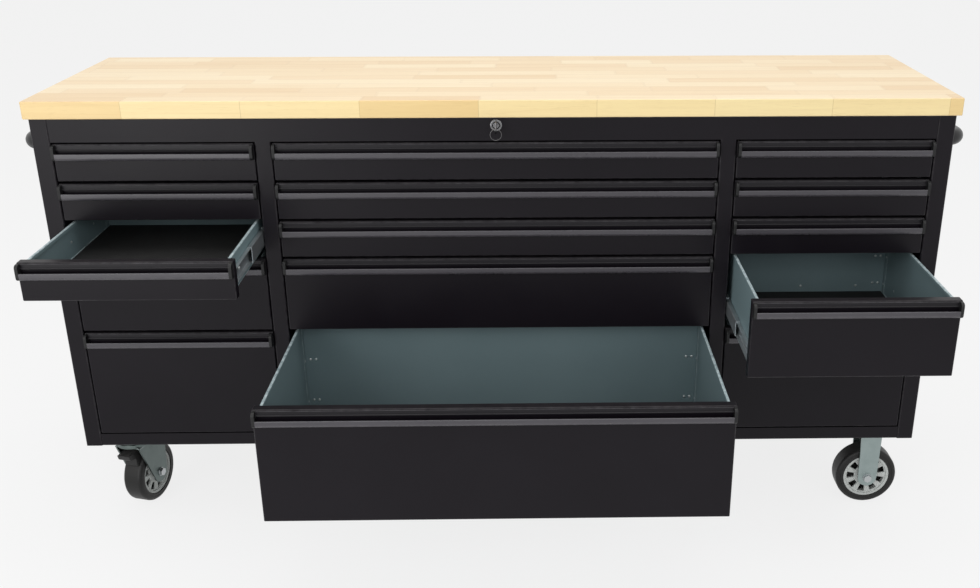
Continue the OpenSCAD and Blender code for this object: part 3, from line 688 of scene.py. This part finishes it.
def makeCaps(name, low, high, face):
    look = drawerLook
    size = (look["capWidth"], look["pullOut"], look["pullLow"] - look["capTop"])
    bm = newSheet()
    for x in (low.x + look["capInset"], high.x - look["capInset"] - size[0]):
        cap = newSheet()
        centre = (x + size[0] / 2, face - size[1] / 2, high.z - look["capTop"] - size[2] / 2)
        addCube(cap, centre, size)
        outer = [edge for edge in cap.edges if all(vert.co.y < centre[1] for vert in edge.verts)
                 and abs(edge.verts[0].co.x - edge.verts[1].co.x) > size[0] / 2]
        ease(cap, outer, look["lipBend"], segments=8, rubbedAndLit=False)
        rims = [edge for edge in cap.edges if abs(edge.verts[0].co.x - edge.verts[1].co.x) < hair
                and min(vert.co.y for vert in edge.verts) < face - look["capFlat"]]
        ease(cap, rims, look["capEase"])
        pour(bm, cap)
    finishDrawer(name, "_caps", bm, capPlastic)


def trayBox(low, high, face):
    look = drawerLook
    start = (low.x + look["trayInset"], face + look["frontDepth"], low.z + look["floorLift"])
    return start, (high.x - look["trayInset"], face + look["depth"], high.z - look["wallDrop"])


def makeTray(name, low, high, face):
    look = drawerLook
    gauge, hem, hemBend, wallBend = look["gauge"], look["hem"], look["hemBend"], look["wallBend"]
    (x0, y0, z0), (x1, y1, z1) = trayBox(low, high, face)
    hemLow = z1 - look["hemDrop"]
    bm = newSheet()
    trough = [(x0 + hem, y0, hemLow), (x0 + hem, y0, z1), (x0, y0, z1), (x0, y0, z0),
              (x1, y0, z0), (x1, y0, z1), (x1 - hem, y0, z1), (x1 - hem, y0, hemLow)]
    bends = [hemBend, hemBend, wallBend, wallBend, hemBend, hemBend]
    foldSheet(bm, trough, (0, y1 - y0, 0), bends, gauge, (1, 0, 0))
    bm.normal_update()
    upper = [side for side in bm.faces if side.normal.z > 0.9]
    markFold(bm, [side for side in upper if side.calc_center_median().z > z1 - 0.0005])  # tops of the hems, for the painted highlight
    rear = [(x0 + gauge, y1, z0 + gauge), (x0 + gauge, y1, z1), (x0 + gauge, y1 - look["rearLip"], z1)]
    foldSheet(bm, rear, (x1 - x0 - 2 * gauge, 0, 0), [hemBend], gauge, (0, 1, 0))
    for x, inward in ((x0 + gauge, 1), (x1 - gauge, -1)):  # the rear wall's flanges lie on the side walls
        near, far = sorted((x, x + inward * look["flangeGauge"]))
        softBlock(bm, (near, y1 - look["flange"], z0 + gauge), (far, y1 - gauge, hemLow), look["flangeEase"])
    finishDrawer(name, "_tray", bm, trayPaint)


def makeRivets(name, low, high, face):
    look = {"radius": 0.0029, "rise": 0.0011, "cornerIn": 0.010, "cornerOut": (0.012, 0.024),
            "deepTray": 0.1, "deepShares": (0.42, 0.85), "lowShares": (0.45,),
            "floorUp": 0.016, "floorCount": 3, "floorRise": 0.0012,
            "slideShares": (0.12, 0.5, 0.8), "slideRise": 0.001, "outerRadius": 0.0036, "outerRise": 0.0016}
    (x0, y0, z0), (x1, y1, z1) = trayBox(low, high, face)
    gauge, radius, deep = drawerLook["gauge"], look["radius"], z1 - z0
    walls = ((x0, 1), (x1, -1))
    bm = newSheet()
    for share in look["deepShares"] if deep > look["deepTray"] else look["lowShares"]:
        z = z1 - deep * share
        for x, inward in walls:
            onFlange = x + inward * (gauge + drawerLook["flangeGauge"])
            domeHead(bm, (onFlange, y1 - look["cornerIn"], z), (inward, 0, 0), radius, look["rise"])
            for away in look["cornerOut"]:
                domeHead(bm, (x + inward * away, y1 - gauge, z), (0, -1, 0), radius, look["rise"])
    for i in range(look["floorCount"]):
        x = x0 + (x1 - x0) * (i + 0.5) / look["floorCount"]
        domeHead(bm, (x, y1 - gauge, z0 + look["floorUp"]), (0, -1, 0), radius, look["floorRise"])
    for x, inward in walls:
        for share in look["slideShares"]:  # rivets through the wall and the slide member behind it
            y, z = y0 + (y1 - y0) * share, low.z + drawerLook["memberRise"]
            domeHead(bm, (x + inward * gauge, y, z), (inward, 0, 0), radius, look["slideRise"])
            domeHead(bm, (x - inward * gauge, y, z), (-inward, 0, 0), look["outerRadius"], look["outerRise"])
    finishDrawer(name, "_rivets", bm, rivetZinc)


def makeMat(name, low, high, face):
    look = drawerLook
    edge = look["trayInset"] + look["matGap"]
    z = low.z + look["floorLift"] + look["gauge"]
    bm = newSheet()
    softBlock(bm, (low.x + edge, face + look["frontDepth"] + look["matFront"], z),
              (high.x - edge, face + look["depth"] - look["matGap"], z + look["mat"]), look["matEase"])
    finishDrawer(name, "_mat", bm, matRubber)


slideLook = {"gauge": 0.0012, "bend": 0.0018, "midReach": 0.0084, "outerReach": 0.0098, "outerHigh": 0.035,
             "wallGap": 0.0018}


def makeChannel(target, web, far, start, length, low, high):  # C section along Y, open towards far
    chain = [(far, start, low), (web, start, low), (web, start, high), (far, start, high)]
    foldSheet(target, chain, (0, length, 0), [slideLook["bend"]] * 2, slideLook["gauge"], (0, 0, -1))


def makeMembers(name, low, high, face):
    look = drawerLook
    z, half = low.z + look["memberRise"], look["memberHigh"] / 2
    bm = newSheet()
    for edge, inward in ((low.x + look["trayInset"], 1), (high.x - look["trayInset"], -1)):
        far = edge - inward * look["memberReach"]
        makeChannel(bm, edge, far, face + look["memberStart"], look["memberLong"], z - half, z + half)
    finishDrawer(name, "_members", bm, runnerZinc)


drawerNames = ["%s_%d" % (column, row) for column in ("left", "centre", "right") for row in range(1, 6)]


def makeDrawers():
    makers = (makeDrawerFront, makePull, makePullStrip, makeCaps, makeTray, makeRivets, makeMat, makeMembers)
    for drawer in drawerNames:
        name = "drawer_" + drawer
        low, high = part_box(name)
        for make in makers:
            make(name, low, high, low.y + drawerLook["pullReach"])


def makeSlides():
    look = slideLook
    runners = newSheet()
    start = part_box("cabinet_runners")[0].y
    for drawer in drawerNames:
        name = "slide_" + drawer
        low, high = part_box(name)
        length, middle, half = high.y - low.y, (low.z + high.z) / 2, look["outerHigh"] / 2
        bm = newSheet()
        for web, inward in ((low.x, 1), (high.x, -1)):
            makeChannel(bm, web, web + inward * look["midReach"], low.y, length, low.z, high.z)
            wall = web - inward * look["wallGap"]
            far = wall + inward * look["outerReach"]
            makeChannel(runners, wall, far, start, length, middle - half, middle + half)
        finishPiece(name + "_rails", bm, name, name, runnerZinc)
    finishPiece("cabinet_runner_rails", runners, "cabinet", "cabinet_runners", runnerZinc)


def makeHandles():
    look = {"tube": 0.017, "bend": 0.025, "collar": 0.004, "flange": 0.0026, "weld": 0.002, "overlap": 0.0005,
            "sides": 40}
    for side, name in ((-1, "left_push_handle"), (1, "right_push_handle")):
        low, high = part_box(name)
        wall, outer = (low.x, high.x) if side > 0 else (high.x, low.x)
        foot, z = (high.z - low.z) / 2, (low.z + high.z) / 2
        first, last = low.y + foot, high.y - foot
        leg = abs(outer - wall) - look["tube"] - look["bend"]
        quarter = side * math.pi / 2
        bm = newSheet()
        bmesh.ops.create_circle(bm, segments=look["sides"], radius=look["tube"],
                                matrix=tipped((wall, first, z), "Y"))
        end = pushLoop(bm, list(bm.edges), (side * leg, 0, 0))
        end = bendLoop(bm, end, (wall + side * leg, first + look["bend"], z), quarter)
        end = pushLoop(bm, end, (0, last - first - 2 * look["bend"], 0))
        end = bendLoop(bm, end, (wall + side * leg, last - look["bend"], z), quarter)
        pushLoop(bm, end, (-side * leg, 0, 0))
        bmesh.ops.holes_fill(bm, edges=list(bm.edges))
        faceOut(bm)
        inner = look["tube"] - look["overlap"]
        collar = [(inner, 0, 0), (foot, 0, 0.0005), (foot, look["flange"], 0.0012),
                  (look["tube"] + look["weld"], look["collar"], 0.0008), (inner, look["collar"], 0)]
        for y in (first, last):
            turnSection(bm, collar, aim((wall, y, z), (side, 0, 0)), look["sides"])
        finishPiece(name + "_tube", bm, "cabinet", name, handlePaint)


lockLook = {
    "flange": 0.012, "proud": 0.003, "barrel": 0.0095, "slack": 0.0001,
    "plug": 0.00595, "plugProud": 0.0035, "plugDeep": 0.022, "eye": 0.0004,
    "cam": 0.002, "camHalf": 0.006, "camDrop": 0.018, "camEase": 0.0006,
    "key": 0.0022, "bow": 0.012, "bowOut": 0.022, "hole": 0.003, "holeOut": 0.028, "bowEase": 0.0004,
    "blade": 0.004, "bladeIn": 0.016, "bladeEase": 0.0003,
    "neck": 0.0056, "neckOut": 0.0125, "neckIn": 0.0088, "neckProud": 0.0002, "neckEase": 0.0006,
    "coil": 0.0007, "coilShift": 0.0006, "coilIn": 0.001}


def makeLock():
    look = lockLook
    low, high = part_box("lock_housing")
    x, face, z = (low.x + high.x) / 2, low.y + look["proud"], (low.z + high.z) / 2
    place = aim((x, face, z), (0, -1, 0))
    flange, proud, barrel, back = look["flange"], look["proud"], look["barrel"], face - high.y
    bore = look["plug"] + look["slack"]
    bm = newSheet()
    turnSection(bm, [(bore, 0, 0), (flange, 0, 0.0002), (flange, proud, 0.0014),
                     (bore + 0.0016, proud, 0.0002), (bore + 0.0008, proud - 0.0006, 0)], place, steps=48)
    turnSection(bm, [(bore, back, 0), (barrel, back, 0.0006), (barrel, 0, 0), (bore, 0, 0)], place, steps=40)
    finishPiece("lock_barrel", bm, "cabinet", "lock_housing", lockChrome)
    eye, plug, deep, end = look["eye"], look["plug"], -look["plugDeep"], look["plugProud"]
    camBack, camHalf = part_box("lock_key")[1].y, look["camHalf"]
    bm = newSheet()
    turnSection(bm, [(eye, deep, 0), (plug, deep, 0), (plug, end, 0.0006), (eye, end, 0)], place, steps=40)
    softBlock(bm, (x - camHalf, camBack - look["cam"], z - look["camDrop"]),
              (x + camHalf, camBack, z + camHalf), look["camEase"])
    finishPiece("lock_plug", bm, "lock_key", "lock_key", lockChrome)
    makeKey(x, face, z)


def makeKey(x, face, z):
    look = lockLook
    half = look["key"] / 2
    bm = newSheet()
    for radius, out in ((look["bow"], look["bowOut"]), (look["hole"], look["holeOut"])):
        bmesh.ops.create_circle(bm, segments=48, radius=radius, matrix=tipped((x - half, face - out, z), "Y"))
    bmesh.ops.bridge_loops(bm, edges=list(bm.edges))
    thicken(bm, (look["key"], 0, 0), look["bowEase"])
    blade, neck, wide = look["blade"], look["neck"], half + look["neckProud"]
    softBlock(bm, (x - half, face - look["neckOut"], z - blade),
              (x + half, face + look["bladeIn"], z + blade), look["bladeEase"])
    softBlock(bm, (x - wide, face - look["neckOut"], z - neck),
              (x + wide, face - look["neckIn"], z + neck), look["neckEase"])
    finishPiece("lock_key_blank", bm, "lock_key", "lock_key", keyNickel)


def makeKeyRing():
    look = lockLook
    low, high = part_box("key_ring")
    radius = (high.x - low.x) / 2 - look["coilIn"]
    bm = newSheet()
    for shift in (-look["coilShift"], look["coilShift"]):  # two coils of a split ring
        coil = newSheet()
        bmesh.ops.create_circle(coil, segments=14, radius=look["coil"],
                                matrix=tipped((radius, 0, shift), "X"))
        spinAll(coil, steps=56)
        pour(bm, coil, aim((low + high) / 2, (0, 1, 0)))
    finishPiece("key_ring_coils", bm, "key_ring", "key_ring", keyNickel)


wheelLook = {
    "tread": 0.0685, "half": 0.023, "shoulder": 0.0084, "bead": 0.0521,  # tyre, its sides finely grooved
    "grooveIn": 0.0580, "groove": 0.0586, "grooveOut": 0.0594, "grooveDeep": 0.0008,
    "rim": 0.0519, "ring": 0.046, "ringHalf": 0.021,
    "hub": 0.0168, "hubHalf": 0.0266, "hubWaist": 0.0190, "hubTaper": 0.002, "bore": 0.0062,
    "disc": (0.0130, 0.0178), "innerDisc": (0.0150, 0.0266), "outerDisc": (0.0430, 0.0466), "discEase": 0.001,
    "spokes": 9, "spokeRoot": (0.0255, 0.0042), "spokeEnd": (0.0440, 0.0070), "spokeIn": 0.0003,
    "spokeEase": 0.0009, "core": (0.0160, 0.0464), "coreHalf": 0.0012}


def makeTyre(wheel, place):
    look = wheelLook
    half = look["half"]
    upper = [(look["bead"], half, 0.0008), (look["grooveIn"], half, 0.0005),
             (look["groove"], half - look["grooveDeep"], 0.0004), (look["grooveOut"], half, 0.0004),
             (look["tread"], half, look["shoulder"])]
    bm = newSheet()
    turnSection(bm, mirrored(upper), place, steps=96)
    finishPiece(wheel + "_tyre_tread", bm, wheel + "_wheel", wheel + "_tyre", tyreRubber)


def makeRim(wheel, place):
    look = wheelLook
    ringHalf, hub, hubHalf, soft = look["ringHalf"], look["hub"], look["hubHalf"], look["discEase"]
    (rootX, rootY), (endX, endY) = look["spokeRoot"], look["spokeEnd"]
    spoke = [(rootX, -rootY, 0), (endX, -endY, 0), (endX, endY, 0), (rootX, rootY, 0)]
    bm = newSheet()
    turnSection(bm, band(look["ring"], look["rim"], -ringHalf, ringHalf, 0.0012, 0.0008), place, steps=80)
    turnSection(bm, mirrored([(look["bore"], hubHalf, 0.0004), (hub - look["hubTaper"], hubHalf, 0.001),
                              (hub, look["hubWaist"], 0.002)]), place, steps=48)
    for way in (-1, 1):  # a windowed disc near each face
        low, high = sorted(way * edge for edge in look["disc"])
        turnSection(bm, band(*look["innerDisc"], low, high, 0, soft), place, steps=64)
        turnSection(bm, band(*look["outerDisc"], low, high, soft, 0), place, steps=80)
        for i in range(look["spokes"]):
            turned = place @ Matrix.Rotation(2 * math.pi * (i + 0.5) / look["spokes"], 4, "Z")
            cutPlate(bm, spoke, low + look["spokeIn"], high - look["spokeIn"], look["spokeEase"], turned)
    finishPiece(wheel + "_rim_casting", bm, wheel + "_wheel", wheel + "_rim", rimNylon)


def makeWindowShade(wheel, place):  # painted shade: a dark disc across the wheel's middle that blacks out the windows
    bm = newSheet()
    turnSection(bm, band(*wheelLook["core"], -wheelLook["coreHalf"], wheelLook["coreHalf"]), place, steps=64)
    finishPiece(wheel + "_painted_window_shade", bm, wheel + "_wheel", wheel + "_rim", tyreRubber)


def makeWheels():
    for wheel in ("front_left", "front_right", "rear_left", "rear_right"):
        spin = joints[wheel + "_wheel_spin"]
        for make in (makeTyre, makeRim, makeWindowShade):
            make(wheel, aim(spin["pos_m"], spin["axis"]))


casterLook = {
    "axle": 0.0685, "axleRadius": 0.0060, "axleCore": 0.0010, "half": 0.031, "head": 0.010, "headRise": 0.007,
    "gauge": 0.004, "bend": 0.006, "eye": 0.0062, "eyeInset": 0.0002, "eyeEase": 0.0006,  # fork sheet
    "swivelFork": {"front": 0.028, "rear": -0.070, "top": 0.165, "end": 0.0240},
    "rigidFork": {"front": 0.023, "rear": -0.023, "top": 0.185, "end": 0.021},
    "plate": (0.050, 0.0425), "plateLow": 0.185, "plateHigh": 0.189, "corner": 0.008, "plateEase": 0.0006,
    "race": 0.036, "raceLow": 0.172, "raceWaist": 0.0352, "raceWaistUp": 0.1765, "raceTop": 0.032,
    "king": 0.007,
    "crownLow": 0.1620, "crownHigh": 0.1716, "crownBore": 0.0075,  # lower race, on the fork
    "nut": 0.011, "nutUp": 0.1597, "nutRise": 0.003, "nutWasher": 0.0006,
    "pitch": (0.035, 0.030), "bolt": 0.008, "boltRise": 0.006, "washer": 0.0013, "panTop": 0.1905}


def makeFork(target, shape, axleX):  # bent sheet, its legs trimmed to lines that meet the rounded ends
    look = casterLook
    half, gauge, axleZ, end = look["half"], look["gauge"], look["axle"], shape["end"]
    front, rear, top = shape["front"], shape["rear"], shape["top"]
    cuts = []
    for x, side in ((front, -1), (rear, 1)):
        away = Vector((x - axleX, top - axleZ))
        angle = math.atan2(away.y, away.x) + side * math.acos(end / away.length)
        outward = Vector((math.cos(angle), 0.0, math.sin(angle)))
        cuts.append((Vector((axleX, 0.0, axleZ)) + outward * end, outward))
    chain = [(rear, -half, axleZ), (rear, -half, top), (rear, half, top), (rear, half, axleZ)]
    foldSheet(target, chain, (front - rear, 0, 0), [look["bend"]] * 2, gauge, (0, -1, 0),
              segments=6, cuts=cuts)
    inset = look["eyeInset"]
    for y in (-half, half - gauge):
        turnSection(target, band(look["eye"], end, inset, gauge - inset, 0, look["eyeEase"]),
                    aim((axleX, y, axleZ), (0, 1, 0)), steps=48)


def makeAxle(target, axleX):
    look = casterLook
    half, axleZ = look["half"], look["axle"]
    for side in (-1, 1):
        place = aim((axleX, side * half, axleZ), (0, side, 0))
        hexHead(target, place, look["head"], look["headRise"], look["washer"])
    shaft = band(look["axleCore"], look["axleRadius"], -half, half)
    turnSection(target, shaft, aim((axleX, 0, axleZ), (0, 1, 0)), steps=32)


def makePlate(target, place):
    look = casterLook
    (x, y), soft = look["plate"], look["corner"]
    corners = [(-x, -y, soft), (x, -y, soft), (x, y, soft), (-x, y, soft)]
    cutPlate(target, corners, look["plateLow"], look["plateHigh"], look["plateEase"], place)


def swivelPlace(end):  # frame of a swivel, its X ahead, and where its axle lies along that X
    axis = Vector(joints[end + "_swivel_turn"]["pos_m"])
    ahead = axis - Vector(joints[end + "_left_wheel_spin"]["pos_m"])
    turn = Matrix.Rotation(math.atan2(ahead.y, ahead.x), 4, "Z")
    return Matrix.Translation((axis.x, axis.y, 0)) @ turn, -ahead.to_2d().length


def rigidPlace(end):
    return Matrix.Translation(Vector(joints[end + "_right_wheel_spin"]["pos_m"]) * Vector((1, 1, 0)))


def makeSwivels():
    look = casterLook
    king, race, low, high = look["king"], look["race"], look["raceLow"], look["plateLow"]
    upperRace = [(king, low, 0), (race, low, 0.0020), (look["raceWaist"], look["raceWaistUp"], 0.0015),
                 (look["raceTop"], high, 0), (king, high, 0)]
    bore, low, high = look["crownBore"], look["crownLow"], look["crownHigh"]
    crown = [(bore, low, 0), (race, low, 0.0012), (race, high, 0.0026), (bore, high, 0)]
    plates = newSheet()
    for end in ("front", "rear"):
        turned, axleX = swivelPlace(end)
        axis = Matrix.Translation(turned.translation)
        makePlate(plates, axis)
        turnSection(plates, upperRace, axis, steps=64)
        nutPlace = axis @ aim((0, 0, look["nutUp"]), (0, 0, -1))
        hexHead(plates, nutPlace, look["nut"], look["nutRise"], look["nutWasher"])
        bm = newSheet()
        makeFork(bm, look["swivelFork"], axleX)
        turnSection(bm, crown, Matrix.Identity(4), steps=64)
        moveAll(bm, turned)
        finishPiece(end + "_swivel_fork_sheet", bm, end + "_swivel", end + "_swivel_fork", swivelZincShaded)
        bm = newSheet()
        makeAxle(bm, axleX)
        moveAll(bm, turned)
        finishPiece(end + "_swivel_axle", bm, end + "_swivel", end + "_swivel_fork", boltSteel)
    finishPiece("swivel_caster_tops", plates, "cabinet", "swivel_caster_plates", swivelZincShaded)


def makeRigids():
    forks, axles = newSheet(), newSheet()
    for end in ("front", "rear"):
        place = rigidPlace(end)
        makePlate(forks, place)
        fork, axle = newSheet(), newSheet()
        makeFork(fork, casterLook["rigidFork"], 0.0)
        makeAxle(axle, 0.0)
        pour(forks, fork, place)
        pour(axles, axle, place)
    finishPiece("rigid_fork_sheets", forks, "cabinet", "rigid_caster_forks", zincPlate)
    finishPiece("rigid_axles", axles, "cabinet", "rigid_caster_forks", boltSteel)


def makeCasterBolts():
    look = casterLook
    x, y = look["pitch"]
    bm = newSheet()
    for end in ("front", "rear"):
        for place in (Matrix.Translation(swivelPlace(end)[0].translation), rigidPlace(end)):
            for dx, dy in ((-x, -y), (-x, y), (x, -y), (x, y)):
                for z, way in ((look["plateLow"], -1), (look["panTop"], 1)):
                    bolt = place @ aim((dx, dy, z), (0, 0, way))
                    hexHead(bm, bolt, look["bolt"], look["boltRise"], look["washer"])
    finishPiece("caster_bolt_heads", bm, "cabinet", "caster_bolts", boltSteel)


def makePedals():
    look = {"pivot": (-0.014, 0.146), "half": 0.015, "ease": 0.0014, "pin": 0.004, "pinHalf": 0.031,
            "pinCore": 0.0014, "ribs": (0.040, 0.0445, 0.049, 0.0535), "ribHalf": 0.0012, "ribIn": 0.003,
            "ribUp": (0.0030, 0.0052), "ribEase": 0.0006}
    lever = [(-0.0050, -0.0034, 0.003), (-0.0050, 0.0034, 0.003), (0.002, 0.0058, 0.004),
             (0.036, 0.0040, 0.006), (0.060, 0.0040, 0.002), (0.056, -0.0090, 0.004),
             (0.036, -0.0130, 0.004), (0.036, -0.0330, 0.002), (0.0300, -0.0330, 0.001),
             (0.012, -0.0170, 0.001), (0.012, -0.0060, 0.002), (0.002, -0.0058, 0.003)]
    half, pinHalf, (ribLow, ribHigh) = look["half"], look["pinHalf"], look["ribUp"]
    ribSide = half - look["ribIn"]
    for end in ("front", "rear"):
        turned = swivelPlace(end)[0] @ Matrix.Translation((look["pivot"][0], 0, look["pivot"][1]))
        upright = turned @ Matrix.Rotation(math.pi / 2, 4, "X")
        bm = newSheet()
        cutPlate(bm, lever, -half, half, look["ease"], upright)
        ribs = newSheet()
        for x in look["ribs"]:
            softBlock(ribs, (x - look["ribHalf"], -ribSide, ribLow), (x + look["ribHalf"], ribSide, ribHigh),
                      look["ribEase"])
        pour(bm, ribs, turned)
        finishPiece(end + "_brake_lever", bm, end + "_brake", end + "_brake_pedal", pedalNylon)
        bm = newSheet()
        pin = band(look["pinCore"], look["pin"], -pinHalf, pinHalf, 0.0003, 0.0006)
        turnSection(bm, pin, upright, steps=28)
        finishPiece(end + "_brake_pin", bm, end + "_brake", end + "_brake_pedal", boltSteel)


makeWorktop()
makeSidePanels()
makeTopRail()
makeBasePan()
makeDividers()
makeBackPanel()
print("worktop and body done")
makeDrawers()
makeSlides()
print("drawers and slides done")
makeHandles()
makeLock()
makeKeyRing()
print("handles and lock done")
makeWheels()
makeSwivels()
makeRigids()
makeCasterBolts()
makePedals()
print("casters done")

railMesh = frame["nodes"]["rear_top_rail"].data  # plain fold hidden under the board, kept as it is
for i in range(len(railMesh.materials)):
    railMesh.materials[i] = bodyPaint


def seenRays(tree):  # rays that show a surface, not those that carry its light
    path = addNode(tree, "ShaderNodeLightPath").outputs
    passed = mathNode(tree, "MAXIMUM", path["Is Glossy Ray"], path["Is Transmission Ray"])
    return mathNode(tree, "MAXIMUM", path["Is Camera Ray"], passed)


def makeStage():
    look = {"pale": (0.86, 0.86, 0.86), "seen": (0.955, 0.955, 0.955), "share": 0.85, "half": 14.0}
    material, tree, shader = startMaterial("paleFloor", Base_Color=look["pale"], Roughness=0.9,
                                           Specular_IOR_Level=0.0)
    glow = addNode(tree, "ShaderNodeEmission", {"Color": look["seen"]})
    parts = {0: times(tree, seenRays(tree), look["share"]), 1: shader.outputs[0], 2: glow.outputs[0]}
    mixed = addNode(tree, "ShaderNodeMixShader", parts)
    feed(tree, tree.get_output_node("ALL").inputs[0], mixed.outputs[0])
    bm = bmesh.new()
    bmesh.ops.create_grid(bm, x_segments=1, y_segments=1, size=look["half"])
    mesh = bpy.data.meshes.new("paleFloor")
    bm.to_mesh(mesh)
    bm.free()
    mesh.materials.append(material)
    floor = bpy.data.objects.new("paleFloor", mesh)
    bpy.context.scene.collection.objects.link(floor)


def makeLamp(name, place, target, size, power):
    data = bpy.data.lights.new(name, "AREA")
    data.shape = "RECTANGLE"
    data.size, data.size_y = size
    data.energy = power
    lamp = bpy.data.objects.new(name, data)
    lamp.location = place
    lamp.rotation_euler = (Vector(target) - Vector(place)).to_track_quat("-Z", "Y").to_euler()
    bpy.context.scene.collection.objects.link(lamp)


def makeLight():
    look = {"room": (1.0, 1.0, 1.0), "roomStrength": 0.55, "seen": (0.92, 0.92, 0.92)}
    world = bpy.data.worlds.new("studio")
    bpy.context.scene.world = world
    tree = nodeTree(world)
    room = addNode(tree, "ShaderNodeBackground", {"Color": look["room"], "Strength": look["roomStrength"]})
    seen = addNode(tree, "ShaderNodeBackground", {"Color": look["seen"], "Strength": 1.0})
    mixed = addNode(tree, "ShaderNodeMixShader", {0: seenRays(tree), 1: room.outputs[0], 2: seen.outputs[0]})
    addNode(tree, "ShaderNodeOutputWorld", {0: mixed.outputs[0]})
    makeLamp("overhead", (0.0, -0.3, 3.6), (0.0, 0.0, 0.9), (4.0, 2.4), 54.0)
    makeLamp("frontLeft", (-2.8, -3.4, 2.6), (-0.2, 0.0, 0.5), (2.0, 2.0), 38.0)
    makeLamp("frontRight", (2.6, -3.6, 2.2), (0.2, 0.0, 0.5), (2.0, 2.0), 22.0)
    makeLamp("lowLeft", (-1.65, -2.6, 0.55), (-0.7, 0.0, 0.5), (1.5, 1.0), 15.5)
    makeLamp("frontFill", (0.1, -2.7, 1.75), (0.0, -0.1, 0.45), (1.6, 0.9), 9.0)


def makeCamera():
    look = {"place": (0.06785, -2.20215, 1.39269), "down": 0.38822, "turn": -0.01911, "focal": 1108.61,
            "centre": (551.63, 303.88), "image": (980, 588)}  # focal, centre and image in pixels
    data = bpy.data.cameras.new("photoCamera")
    width, height = look["image"]
    data.sensor_fit = "HORIZONTAL"
    data.sensor_width = 36.0
    data.lens = look["focal"] * data.sensor_width / width
    data.shift_x = (width / 2 - look["centre"][0]) / width
    data.shift_y = (look["centre"][1] - height / 2) / width
    data.clip_end = 100.0
    camera = bpy.data.objects.new("photoCamera", data)
    camera.location = look["place"]
    camera.rotation_euler = (math.pi / 2 - look["down"], 0.0, look["turn"])
    bpy.context.scene.collection.objects.link(camera)
    bpy.context.scene.camera = camera


makeStage()
makeLight()
makeCamera()
bpy.context.scene.view_settings.view_transform = "Standard"
print("stage, light and camera done")
